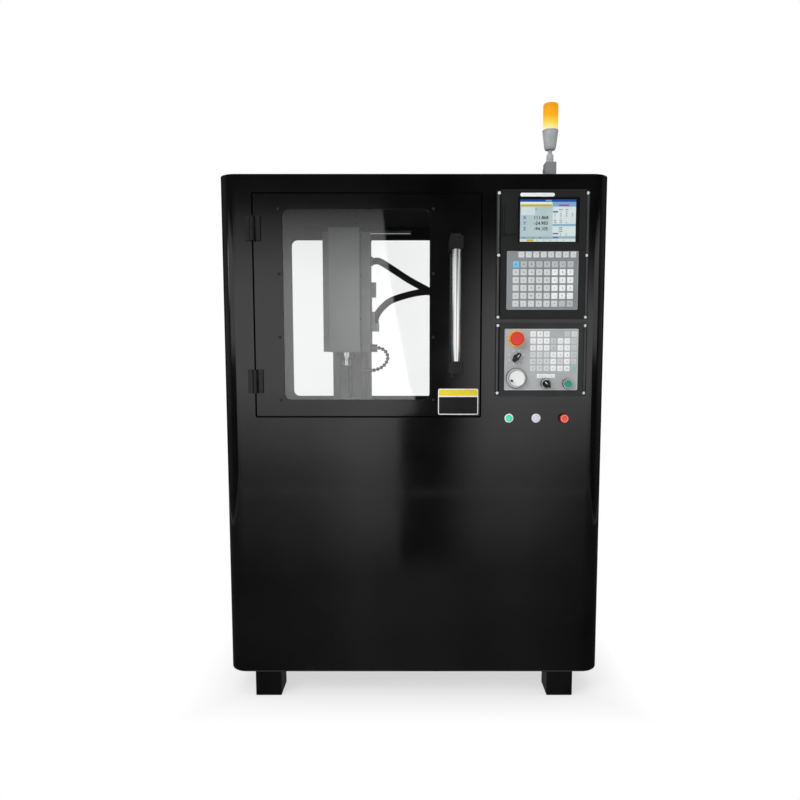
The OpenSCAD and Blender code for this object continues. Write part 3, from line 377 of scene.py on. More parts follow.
def white_plastic():
    return finish("gloss_white_plastic", (0.82, 0.83, 0.83), 0.28, spread=0.05, patch=60.0, grain=2500.0,
                  coat=0.2)


def casting_coat():
    return finish("casting_coat", colors().casting, 0.5, spread=0.14, patch=10.0, wear=0.08, grain=420.0,
                  bump=0.35, depth=0.0004)


def print_ink(name, color):
    return finish(name, color, 0.45, specular=0.3, spread=0.1, patch=200.0, grain=4000.0, bump=0.05)


def key_ink():
    return print_ink("key_ink", (0.05, 0.053, 0.056))


def white_print():
    return print_ink("white_print", (0.86, 0.87, 0.87))


def lit(name, color):
    """Field of the lit display, a little uneven as its backlight is."""
    return finish(name, color, 0.2, specular=0.3, spread=0.06, patch=22.0, grain=6000.0, bump=0.02,
                  glow=0.8, body=0.1)


# Meshes


def rounded(w, h, r, steps=4):
    """Points of a rectangle with round corners, counter-clockwise."""
    r = max(min(r, w / 2 - 0.01, h / 2 - 0.01), 0.01)
    corners = ((1, 1, 0), (-1, 1, 90), (-1, -1, 180), (1, -1, 270))
    points = []
    for sx, sy, start in corners:
        for k in range(steps + 1):
            a = math.radians(start + 90 * k / steps)
            points.append((sx * (w / 2 - r) + r * math.cos(a), sy * (h / 2 - r) + r * math.sin(a)))
    return points


def loft(loops, closed=False, tip_first=None, tip_last=None):
    """Skin over loops of equal length, capped at both ends or joined end to end."""
    n = len(loops[0])
    points = [p for loop in loops for p in loop]
    pairs = [(i, i + 1) for i in range(len(loops) - 1)]
    if closed:
        pairs.append((len(loops) - 1, 0))
    faces = [(a * n + j, a * n + (j + 1) % n, b * n + (j + 1) % n, b * n + j) for a, b in pairs
             for j in range(n)]
    if not closed:
        for start, tip in ((0, tip_first), ((len(loops) - 1) * n, tip_last)):
            if tip is None:
                faces.append(tuple(range(start, start + n)))
            else:
                points.append(tip)
                faces += [(start + j, start + (j + 1) % n, len(points) - 1) for j in range(n)]
    return points, faces


def tile(w, h, r, levels, steps=4):
    """Plate with round corners, its outline inset by the first number of each level at that height."""
    return loft([[(x, y, z) for x, y in rounded(w - 2 * i, h - 2 * i, r - i, steps)] for i, z in levels])


def plate(w, h, r, low, high, edge=0.2):
    return tile(w, h, r, [(0, low), (0, high - edge), (edge * 0.3, high - edge * 0.3), (edge, high)])


def flats(r, n):
    """Radius of a bar with n flats, r out to its corners, as a function of the angle."""
    def at(angle):
        part = angle % (2 * math.pi / n) - math.pi / n
        return r * math.cos(math.pi / n) / math.cos(part)
    return at


def lathe(profile, sides=48, closed=False):
    """Turned part about w from (radius, height) pairs; a radius may be a function of the angle."""
    loops, tips = [], [None, None]
    for k, (r, h) in enumerate(profile):
        if r == 0:
            tips[0 if k == 0 else 1] = (0.0, 0.0, h)
            continue
        loop = []
        for j in range(sides):
            a = 2 * math.pi * j / sides
            reach = r(a) if callable(r) else r
            loop.append((reach * math.cos(a), reach * math.sin(a), h))
        loops.append(loop)
    return loft(loops, closed, *tips)


def ring(inner, outer, low, high, edge=0.4, sides=48):
    return lathe([(inner, low), (outer, low), (outer, high - edge), (outer - edge, high),
                  (inner + edge, high), (inner, high - edge)], sides, closed=True)


def spline(route, steps=24):
    """Dense points on a smooth curve through the route."""
    p = [Vector(q) for q in route]
    p = [2 * p[0] - p[1]] + p + [2 * p[-1] - p[-2]]
    points = []
    for a, b, c, d in zip(p, p[1:], p[2:], p[3:]):
        for k in range(steps):
            u = k / steps
            points.append((2 * b + (c - a) * u + (2 * a - 5 * b + 4 * c - d) * u * u
                           + (3 * b - a - 3 * c + d) * u ** 3) / 2)
    return points + [p[-2]]


def even(points, step):
    """The curve again, with points a step apart, and its length."""
    walk = [0.0]
    for a, b in zip(points, points[1:]):
        walk.append(walk[-1] + (b - a).length)
    count = max(int(round(walk[-1] / step)), 2)
    made, i = [], 0
    for k in range(count + 1):
        s = walk[-1] * k / count
        while i < len(points) - 2 and walk[i + 1] < s:
            i += 1
        made.append(points[i].lerp(points[i + 1], (s - walk[i]) / max(walk[i + 1] - walk[i], 1e-9)))
    return made, walk[-1]


def sweep(points, radii, sides=20):
    """Tube along points with a radius at each, its frame carried along without twist."""
    loops = []
    side = None
    for i, p in enumerate(points):
        ahead = (points[min(i + 1, len(points) - 1)] - points[max(i - 1, 0)]).normalized()
        if side is None:
            side = ahead.orthogonal().normalized()
        side = (side - ahead * side.dot(ahead)).normalized()
        up = ahead.cross(side)
        loops.append([p + radii[i] * (math.cos(2 * math.pi * j / sides) * side
                                      + math.sin(2 * math.pi * j / sides) * up) for j in range(sides)])
    return loft(loops)


def glyph(text, size, bold=0.0, thick=0.04):
    """Raised letters or digits round the origin."""
    curve = bpy.data.curves.new("legend", "FONT")
    curve.body, curve.size, curve.offset, curve.extrude, curve.resolution_u = text, size, bold, thick, 2
    curve.align_x, curve.align_y = "CENTER", "CENTER"
    holder = bpy.data.objects.new("legend", curve)
    mesh = bpy.data.meshes.new_from_object(holder)
    points = [tuple(v.co) for v in mesh.vertices]
    faces = [tuple(f.vertices) for f in mesh.polygons]
    bpy.data.meshes.remove(mesh)
    bpy.data.objects.remove(holder)
    bpy.data.curves.remove(curve)
    return points, faces


def on_front(x, z, d=0.0, turn=0.0):
    """Place facing the operator: u to the right, v up, w outwards from depth d."""
    return (Matrix.Translation((x, FRONT + d, z)) @ Matrix.Rotation(math.radians(90), 4, "X")
            @ Matrix.Rotation(math.radians(turn), 4, "Z"))


def on_back(x, z, d):
    return Matrix.Translation((x, FRONT + d, z)) @ Matrix.Rotation(math.radians(-90), 4, "X")


def upright(x, d, z):
    return Matrix.Translation((x, FRONT + d, z))


def lying(x, d, z):
    return Matrix.Translation((x, FRONT + d, z)) @ Matrix.Rotation(math.radians(90), 4, "Y")


def shifted(place, u, v, w=0.0):
    return place @ Matrix.Translation((u, v, w))


class Shape:
    """A piece in the making: faces in millimetres, each with its finish."""

    def __init__(self):
        self.points, self.faces, self.marks, self.finishes = [], [], [], []

    def add(self, part, material, place=None):
        points, faces = part
        start = len(self.points)
        self.points += [place @ Vector(p) if place else Vector(p) for p in points]
        self.faces += [tuple(start + i for i in face) for face in faces]
        if material not in self.finishes:
            self.finishes.append(material)
        self.marks += [self.finishes.index(material)] * len(faces)

    def build(self, name, sharp=32.0):
        mesh = bpy.data.meshes.new(name)
        mesh.from_pydata([p * 0.001 for p in self.points], [], self.faces)
        for material in self.finishes:
            mesh.materials.append(material)
        mesh.polygons.foreach_set("material_index", self.marks)
        work = bmesh.new()
        work.from_mesh(mesh)
        bmesh.ops.recalc_face_normals(work, faces=work.faces)
        for face in work.faces:
            face.smooth = True
        work.to_mesh(mesh)
        work.free()
        mesh.set_sharp_from_angle(angle=math.radians(sharp))
        piece = bpy.data.objects.new(name, mesh)
        bpy.context.scene.collection.objects.link(piece)
        return piece

    def ride(self, name, body, slot, *nodes, sharp=32.0):
        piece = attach(self.build(name, sharp), body)
        if nodes:
            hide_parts(*nodes)
        return piece


def dress(name, material, edge=0.0):
    """Finish on a construction piece as it is, its edges eased by a width in millimetres."""
    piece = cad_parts[name]
    for slot in piece.material_slots:
        slot.material = material
    if not edge:
        return
    weld = piece.modifiers.new("join", "WELD")
    weld.merge_threshold = 1e-5
    flat = piece.modifiers.new("flat", "DECIMATE")
    flat.decimate_type = "DISSOLVE"
    flat.angle_limit = math.radians(0.6)
    ease = piece.modifiers.new("ease", "BEVEL")
    ease.width = edge * 0.001
    ease.segments = 2
    ease.limit_method = "ANGLE"
    ease.angle_limit = math.radians(38)
    ease.use_clamp_overlap = True
    even_out = piece.modifiers.new("shade", "WEIGHTED_NORMAL")
    even_out.keep_sharp = True


# Stage


def glow_card(name, corners, build, through=((-4.0, 1.0), (4.0, 1.0))):
    """Card that only shows in reflections, and is white seen straight through a pane.

    build makes its strength from a tree and x, y, z; through is the level along x seen through a pane.
    """
    mesh = bpy.data.meshes.new(name)
    mesh.from_pydata(corners, [], [(0, 1, 2, 3)])
    card = bpy.data.objects.new(name, mesh)
    bpy.context.scene.collection.objects.link(card)
    material, tree, shader = blank(name)
    tree.nodes.remove(shader)
    place = tree.nodes.new("ShaderNodeNewGeometry").outputs["Position"]
    x, y, z = node(tree, "ShaderNodeSeparateXYZ", Vector=place).outputs
    ray = tree.nodes.new("ShaderNodeLightPath").outputs
    straight = math_node(tree, "LESS_THAN", ray["Glossy Depth"], 0.5)
    strength = node(tree, "ShaderNodeMix", Factor=times(tree, ray["Is Transmission Ray"], straight),
                    A=build(tree, x, y, z), B=profile(tree, x, through))
    light = node(tree, "ShaderNodeEmission", Strength=strength.outputs["Result"])
    put(tree, tree.nodes["Material Output"], Surface=light.outputs["Emission"])
    mesh.materials.append(material)
    for kind in ("camera", "diffuse", "shadow", "volume_scatter"):
        setattr(card, "visible_" + kind, False)


def standing(x0, y0, x1, y1):
    """Corners of a card that stands on the floor."""
    return [(x0, y0, 0), (x1, y1, 0), (x1, y1, CARD_TOP), (x0, y0, CARD_TOP)]


def profile(tree, source, stops):
    """Strength through (place, level) stops along one axis."""
    low, high = stops[0][0], stops[-1][0]
    along = spread_over(tree, source, 0.0, 1.0, low, high)
    return ramp(tree, along, [((p - low) / (high - low), (v, v, v)) for p, v in stops])


def band(tree, seen, along, left, right):
    """1 between two edges and 0 outside them, each edge given as (place, x) stops along one axis."""
    sides = []
    for edge, soft in ((left, 0.004), (right, 0.06)):
        line = minus(tree, profile(tree, along, [(p, v + 0.5) for p, v in edge]), 0.5)
        sides.append(spread_over(tree, minus(tree, seen, line), 0.0, 1.0, -soft, soft))
    return minus(tree, *sides)


def humps(tree, seen):
    """The two brighter places across the lower front."""
    return profile(tree, seen, [(-0.55, 0.3), (-0.405, 0.43), (-0.308, 0.53), (-0.163, 1.0),
                                (-0.05, 0.85), (0.15, 0.7), (0.32, 0.75), (0.417, 0.55), (0.55, 0.2)])


def front_strength(tree, x, y, z):
    """Bright at eye height, hanging lower to the right, with a dark band up the middle."""
    seen = math_node(tree, "DIVIDE", x, MIRROR)
    mirrored = [(1.56, 0.02), (1.5, 0.09), (1.436, 0.37), (1.374, 0.6), (1.31, 0.85), (1.24, 0.97),
                (1.1, 1.0), (0.854, 0.93), (0.787, 0.86), (0.72, 0.65), (0.655, 0.54), (0.6, 0.5)]
    levels = [(EYE_Z + MIRROR * (p - EYE_Z), v) for p, v in reversed(mirrored)]
    hang = times(tree, profile(tree, seen, [(0.1, 0.0), (0.3, 0.32)]),
                 profile(tree, z, [(0.9, 0.0), (1.5, 1.0)]))
    level = profile(tree, math_node(tree, "ADD", z, hang), levels)
    low = profile(tree, z, [(0.0, 1.0), (0.25, 0.8), (0.5, 0.5), (0.8, 0.0)])
    dip = times(tree, low, minus(tree, 1.0, humps(tree, seen)))
    level = times(tree, level, minus(tree, 1.0, dip))
    left = [(0.0, -0.0423), (0.56, -0.0423), (0.6, 0.0065), (0.705, 0.002), (0.79, -0.013),
            (1.37, -0.058), (1.6, -0.0735), (2.05, -0.092), (2.4, -0.108)]
    right = [(0.0, 0.132), (0.5, 0.162), (1.0, 0.143), (1.78, 0.193), (2.1, 0.224)]
    dark = band(tree, seen, z, left, right)
    return times(tree, level, times_plus(tree, dark, -0.97, 1.0))


def floor_strength(tree, x, y, z):
    """Brighter towards the front card, with its humps and the foot of its dark band."""
    reach = math_node(tree, "MAXIMUM", times_plus(tree, y, -0.5245, 0.7802), 1.0)
    seen = math_node(tree, "DIVIDE", x, reach)
    level = profile(tree, y, [(-3.15, 0.53), (-2.61, 0.495), (-2.13, 0.38), (-1.74, 0.25), (-1.44, 0.17),
                              (-1.17, 0.165), (-0.77, 0.133), (-0.4, 0.12), (0.4, 0.2), (2.0, 0.25)])
    level = times(tree, level, humps(tree, seen))
    dark = band(tree, seen, y, [(-3.2, -0.0425), (-1.4, -0.0425)], [(-3.2, 0.14), (-1.4, 0.14)])
    dark = times(tree, dark, profile(tree, y, [(-1.8, 0.9), (-1.4, 0.0)]))
    return times(tree, level, minus(tree, 1.0, dark))


def side_strength(tree, x, y, z):
    """Soft beside the machine, bright near the front card, with a glint on the left."""
    along = profile(tree, y, [(-1.0, 0.012), (-0.6, 0.1), (0.6, 0.1), (1.0, 0.02), (2.0, 0.004)])
    up = profile(tree, z, [(0.0, 0.35), (0.6, 0.6), (1.2, 1.6), (1.8, 1.0), (2.4, 0.4), (3.2, 0.1)])
    bright = times(tree, profile(tree, y, [(-1.35, 0.75), (-1.1, 0.0)]),
                   profile(tree, z, [(0.95, 0.0), (1.1, 1.0), (1.75, 1.0), (1.95, 0.0)]))
    glint = times(tree, profile(tree, y, [(-1.1, 0.0), (-1.05, 1.0), (-0.93, 1.0), (-0.88, 0.0)]),
                  profile(tree, z, [(1.3, 0.0), (1.45, 1.0), (1.65, 1.0), (1.75, 0.0)]))
    glint = times(tree, glint, math_node(tree, "LESS_THAN", x, 0.0))
    level = times_plus(tree, along, up, bright)
    return times_plus(tree, glint, 3.0, level)


def back_strength(tree, x, y, z):
    """Soft light that fades to both sides and upwards."""
    across = profile(tree, x, [(-1.6, 0.012), (-1.0, 0.3), (0.0, 0.42), (1.0, 0.3), (1.6, 0.012)])
    up = profile(tree, z, [(0.0, 0.3), (0.6, 0.6), (1.2, 1.6), (1.9, 1.0), (2.4, 0.4), (3.2, 0.1)])
    return times(tree, across, up)


class MACHINE_OT_stage(bpy.types.Operator):
    """Set the camera, the floor, the light and the cards that the paint mirrors"""

    bl_idname = "machine.stage"
    bl_label = "Stage"

    def camera(self, scene):
        look = studio()
        data = bpy.data.cameras.new("camera")
        data.lens, data.sensor_width, data.shift_x = look.focal, 36.0, look.shift
        data.clip_start, data.clip_end = 0.05, 100.0
        eye = bpy.data.objects.new("camera", data)
        eye.location = look.eye
        eye.rotation_euler = (math.radians(90) - look.tilt, 0.0, 0.0)
        scene.collection.objects.link(eye)
        scene.camera = eye

    def surroundings(self, scene):
        world = bpy.data.worlds.new("studio")
        scene.world = world
        world.use_nodes = True
        tree = world.node_tree
        ray = tree.nodes.new("ShaderNodeLightPath").outputs
        seen = math_node(tree, "ADD", ray["Is Camera Ray"], ray["Is Glossy Ray"])
        seen = math_node(tree, "ADD", seen, ray["Is Transmission Ray"])
        put(tree, tree.nodes["Background"], Color=(1.0, 1.0, 1.0, 1.0),
            Strength=spread_over(tree, seen, studio().daylight, 1.0, 0.0, 1.0))

    def floor(self, scene):
        """Round floor that turns plain white away from the machine's own shadow."""
        count, reach, drop = 64, 30, 0.0005
        turns = [math.pi * k / (count / 2) for k in range(count)]
        mesh = bpy.data.meshes.new("floor")
        mesh.from_pydata([(reach * math.cos(a), reach * math.sin(a), -drop) for a in turns], [],
                         [tuple(range(count))])
        piece = bpy.data.objects.new("floor", mesh)
        scene.collection.objects.link(piece)
        material, tree, shader = blank("pale_floor")
        tone = tuple(studio().floor)
        shade = ramp(tree, noise(tree, 3.0), [(NOISE_LOW, [0.985 * c for c in tone]), (NOISE_HIGH, tone)])
        put(tree, shader, Base_Color=shade, Roughness=0.8, Specular_IOR_Level=0.1)
        x, y = [math_node(tree, "ABSOLUTE", value) for value in axes(tree)[:2]]
        outside = math_node(tree, "MAXIMUM", minus(tree, x, FOOT_X), minus(tree, y, FOOT_Y))
        far = spread_over(tree, outside, 0.62, 1.0, -0.03, 0.13)
        ray = tree.nodes.new("ShaderNodeLightPath").outputs
        seen = math_node(tree, "ADD", ray["Is Camera Ray"], ray["Is Transmission Ray"])
        mixed(tree, times(tree, far, seen), shader, node(tree, "ShaderNodeEmission", Strength=1.0))
        mesh.materials.append(material)

    def lamp(self, scene):
        place, target = Vector((-2.1, -2.7, 3.1)), Vector((0.0, 0.0, 1.0))
        data = bpy.data.lights.new("key_lamp", "AREA")
        data.shape, data.size, data.energy = "DISK", 2.2, studio().key_power
        lamp = bpy.data.objects.new("key_lamp", data)
        lamp.location = place
        lamp.rotation_euler = (target - place).to_track_quat("-Z", "Y").to_euler()
        lamp.visible_glossy = lamp.visible_camera = False
        scene.collection.objects.link(lamp)

    def execute(self, context):
        scene = context.scene
        scene.view_settings.view_transform = "Standard"
        self.camera(scene)
        self.surroundings(scene)
        self.floor(scene)
        self.lamp(scene)
        # The cards keep clear of each other and of the floor by small steps.
        step, inset, lift, wide = 0.01, 0.05, 0.002, 4
        front, back, side, edge = CARD_FRONT, CARD_BACK, CARD_SIDE, CARD_SIDE - inset
        glow_card("front_card", standing(-wide, front, wide, front), front_strength)
        for name, x in (("left_card", -side), ("right_card", side)):
            glow_card(name, standing(x, front + step, x, back), side_strength)
        glow_card("back_card", standing(step - side, back, side - step, back), back_strength,
                  ((-0.9, 0.96), (-0.3, 1.1), (0.3, 1.15)))
        corners = ((-edge, front + inset), (edge, front + inset), (edge, back - inset),
                   (-edge, back - inset))
        glow_card("floor_card", [(x, y, lift) for x, y in corners], floor_strength)
        return {"FINISHED"}


class MACHINE_OT_conduits(bpy.types.Operator):
    """Rippled conduits from the head to the partition"""

    bl_idname = "machine.conduits"
    bl_label = "Conduits"

    routes = {
        "conduit_upper": [
            (HEAD_RIGHT + 8, 440, 1390), (HEAD_RIGHT + 30, 440, 1390), (HEAD_RIGHT + 66, 441, 1370),
            (HEAD_RIGHT + 138, 445, 1324), (HEAD_RIGHT + 213, 450, 1284), (WALL_X - 78, 453, 1246),
            (WALL_X - 20, 455, 1220), (WALL_X, 455, 1220)],
        "conduit_lower": [
            (HEAD_RIGHT + 14, 469, 1170), (HEAD_RIGHT + 14, 469, 1180), (HEAD_RIGHT + 20, 470, 1200),
            (HEAD_RIGHT + 41, 473, 1228), (HEAD_RIGHT + 82, 479, 1257), (HEAD_RIGHT + 178, 489, 1283),
            (HEAD_RIGHT + 240, 497, 1277), (WALL_X - 60, 503, 1222), (WALL_X - 20, 505, 1195),
            (WALL_X, 505, 1195)],
    }

    def execute(self, context):
        pitch, groove, outer = sizes().ripple_pitch * 1000, sizes().ripple_depth * 1000, 12.5
        for name, route in self.routes.items():
            points, run = even(spline([(x, FRONT + d, z) for x, d, z in route]), pitch / 6)
            turns, last = round(run / pitch), len(points) - 1
            radii = [outer - groove * (0.5 - 0.5 * math.cos(2 * math.pi * turns * k / last)) ** 2
                     for k in range(last + 1)]
            shape = Shape()
            shape.add(sweep(points, radii, 24), rubber())
            piece = shape.build("rippled_" + name, sharp=60.0)
            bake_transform(piece)
            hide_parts(name)
            print(f"{name} is {run / 1000:.3f} m long")
        return {"FINISHED"}


class MACHINE_OT_cabinet(bpy.types.Operator):
    """Finishes of the cabinet's sheets, feet, rear pane, tray and glands"""

    bl_idname = "machine.cabinet"
    bl_label = "Cabinet"

    def execute(self, context):
        for name, edge in (("front_panel", 0.7), ("side_panel_left", 0.7), ("side_panel_right", 0.7),
                           ("rear_panel", 0.7), ("roof_panel", 0.8), ("floor_pan", 1.0), ("feet", 2.5)):
            dress(name, powder_coat(), edge)
        dress("partition_wall", finish("partition_coat", (0.05, 0.052, 0.055), 0.45, spread=0.2), 0.4)
        dress("chip_tray", finish("rolled_tray_steel", (0.42, 0.43, 0.44), 0.36, metal=1.0, spread=0.14,
                                  patch=6.0, streak=(0.1, 1.0, 1.0), grain=700.0), 0.5)
        dress("rear_window", pane_finish("rear_pane", 1.3))
        dress("door_seal", rubber(), 1.2)
        dress("cable_glands", hard_black(), 0.8)
        return {"FINISHED"}


class MACHINE_OT_door(bpy.types.Operator):
    """Finishes of the door, its pane and hinges, and the handle with its bracket screws"""

    bl_idname = "machine.door"
    bl_label = "Door and handle"

    handle_x, bracket_reach, bracket_face = 122.0, 203.0, -9.98

    def execute(self, context):
        dress("door_panel", powder_coat(), 0.9)
        dress("door_window", pane_finish("door_pane", 1.9))
        for name in ("hinge_frame_leaves", "hinge_door_leaves"):
            dress(name, hard_black(), 1.2)
        dress("handle_brackets", hard_black(), 2.2)
        dress("handle_bar", finish("polished_handle", (0.90, 0.91, 0.92), 0.06, metal=1.0, spread=0.03,
                                   patch=20.0, wear=0.015, streak=(1.0, 1.0, 0.02), grain=2500.0,
                                   bump=0.015), 0.6)
        shape = Shape()
        for side in (-1, 1):
            place = on_front(self.handle_x, DOOR_MID + side * self.bracket_reach, self.bracket_face)
            shape.add(screw_head(4.2, 3.2), dark_screw(), place)
        shape.ride("handle_screws", "door", "dark_screw")
        return {"FINISHED"}


def screw_head(r, h):
    """Domed head with a six-sided socket, seated on w = 0."""
    socket = 0.56 * r
    hexagon, small = flats(socket, 6), flats(socket * 0.94, 6)
    return lathe([(0, 0), (r, 0), (r, 0.5 * h), (0.95 * r, 0.75 * h), (0.82 * r, 0.93 * h), (0.7 * r, h),
                  (hexagon, h), (small, 0.42 * h), (0, 0.36 * h)], 24)


def screw(shape, material, place, grip):
    """Screw through a grip, with its nut behind."""
    shank, bore, nut, nut_high = 2.4, 2.35, flats(4.4, 6), 3.5
    end = -grip - 5.0
    shape.add(screw_head(4.5, 3.0), material, place)
    shape.add(lathe([(0, end), (1.9, end), (shank, end + 0.7), (shank, 0.0)], 20), material, place)
    shape.add(lathe([(bore, -grip - nut_high), (nut, -grip - nut_high), (nut, -grip), (bore, -grip)], 24,
                    closed=True), material, place)


class MACHINE_OT_fasteners(bpy.types.Operator):
    """Screws of the operator panels, the rear pane and the door's pane"""

    bl_idname = "machine.fasteners"
    bl_label = "Fasteners"

    panel_half, panel_grip, pane_grip = 128.5, 5.0, 8.0
    # Sides, lowest place and step of the screws round each pane.
    rear_pane = ((-531.0, 171.0), 869.0, 221.0)
    door_pane = ((-397.0, 57.0), 927.0, 186.0)

    def places(self, sides, low, step):
        return [(x, low + step * i) for x in sides for i in range(4)]

    def execute(self, context):
        shape = Shape()
        for x in (PANEL_X - self.panel_half, PANEL_X + self.panel_half):
            for z in SCREW_LEVELS:
                screw(shape, pale_screw(), on_front(x, z, FRAME_FACE), self.panel_grip)
        for x, z in self.places(*self.rear_pane):
            screw(shape, dark_screw(), on_back(x, z, BACK), self.pane_grip)
        shape.ride("panel_and_rear_screws", "cabinet", "bright_steel", "cabinet_screws")
        pane_screw = finish("pane_screw", (0.05, 0.05, 0.052), 0.28, metal=0.8, patch=120.0, grain=3000.0)
        shape = Shape()
        for x, z in self.places(*self.door_pane):
            screw(shape, pane_screw, on_front(x, z), self.pane_grip)
        shape.ride("pane_screws", "door", "dark_screw", "window_screws")
        return {"FINISHED"}


class MACHINE_OT_display(bpy.types.Operator):
    """Display frame and its lit picture of axis positions"""

    bl_idname = "machine.display"
    bl_label = "Display"

    columns, rows, pitch = 168.0, 125.0, 0.962
    centre, glass, print_face = (389.5, 1450.3), -7.5, -7.75
    tones = {"ground": (0.50, 0.62, 0.63), "pale": (0.70, 0.80, 0.80), "white": (0.86, 0.90, 0.90),
             "bar": (0.012, 0.085, 0.42), "band": (0.66, 0.52, 0.02), "head": (0.22, 0.42, 0.66),
             "chip": (0.06, 0.19, 0.50), "mark": (0.40, 0.07, 0.46), "strip": (0.32, 0.46, 0.52),
             "ink": (0.015, 0.02, 0.03), "letter": (0.03, 0.05, 0.42)}
    layers = ((0.0, 0.1), (0.1, 0.18), (0.18, 0.24))
    # Left, top, right and bottom of each field, its tone and its layer.
    fields = ((0, 0, 168, 125, "ground", 0), (0, 0, 168, 7, "bar", 1), (76, 1.4, 94, 5.4, "head", 2),
              (0, 7, 96, 14, "white", 1), (2, 14, 96, 20.5, "band", 1), (3, 22.5, 44, 46, "pale", 1),
              (0, 110, 96, 117, "strip", 1), (0, 117, 168, 125, "pale", 1),
              (20, 118.2, 41, 124, "band", 2), (98, 7, 168, 20.5, "head", 1),
              (115, 14.8, 147, 19.8, "mark", 2), (98, 22, 168, 72, "pale", 1),
              (98, 73, 168, 77.5, "head", 1), (98, 79, 168, 108, "pale", 1),
              (98, 109.5, 168, 115.5, "strip", 1), (99, 34, 114, 38.5, "chip", 2),
              (99, 99, 116, 103, "chip", 2), (99, 110.5, 116, 114.5, "chip", 2))
    readings = (("X", "111.868"), ("Y", "-24.983"), ("Z", "-94.105"))
    # Height and texts of each row of small numbers on the right.
    small = ((30.0, ("", "0.000", "1200")), (36.4, ("", "0", "60")), (42.6, ("17", "40", "49", "80")),
             (48.6, ("21", "54", "64", "97")), (56.0, ("1", "5")), (62.0, ("0.00", "0.00")),
             (68.0, ("100", "100", "25")), (83.0, ("", "0.000")), (89.0, ("", "0.000")),
             (95.0, ("", "0.000")), (101.2, ("", "3", "0")), (106.4, ("", "0", "12")))

    def at(self, u, v, d):
        """Place on the picture, from its left and top."""
        return on_front(self.centre[0] + (u - self.columns / 2) * self.pitch,
                        self.centre[1] + (self.rows / 2 - v) * self.pitch, d)

    def field(self, shape, u0, v0, u1, v1, material, layer):
        levels = [(0, w) for w in self.layers[layer]]
        shape.add(tile((u1 - u0) * self.pitch, (v1 - v0) * self.pitch, 0.2, levels, 1), material,
                  self.at((u0 + u1) / 2, (v0 + v1) / 2, self.glass))

    def words(self, shape, u, v, text, size, material):
        shape.add(glyph(text, size, 0.02 * size), material, self.at(u, v, self.print_face))

    def execute(self, context):
        dress("display_screen", finish("display_frame", (0.004, 0.004, 0.0045), 0.22, patch=40.0,
                                       grain=2500.0), 0.5)
        tones = {name: lit("picture_" + name, color) for name, color in self.tones.items()}
        ink = tones["ink"]
        shape = Shape()
        for *edges, tone, layer in self.fields:
            self.field(shape, *edges, tones[tone], layer)
        for k, (axis, value) in enumerate(self.readings):
            v = 54.0 + 16.6 * k
            self.words(shape, 13.5, v, axis, 12.5, tones["letter"])
            self.words(shape, 63.0, v, value, 13.4, ink)
        self.words(shape, 47.5, 29.0, "0", 6.5, ink)
        for v, texts in self.small:
            for k, text in enumerate(texts):
                if text:
                    self.words(shape, 105.0 + 17.5 * k, v, text, 4.6, ink)
        for k, u in enumerate((9.0, 52.0, 72.0, 92.0, 112.0, 132.0, 152.0)):
            self.words(shape, u, 121.2, str(k + 1), 5.0, ink)
        for u, text in ((11.0, "10 20"), (40.0, "30"), (60.0, "40")):
            self.words(shape, u, 113.6, text, 4.6, ink)
        shape.ride("display_picture", "cabinet", "screen", sharp=20.0)
        return {"FINISHED"}


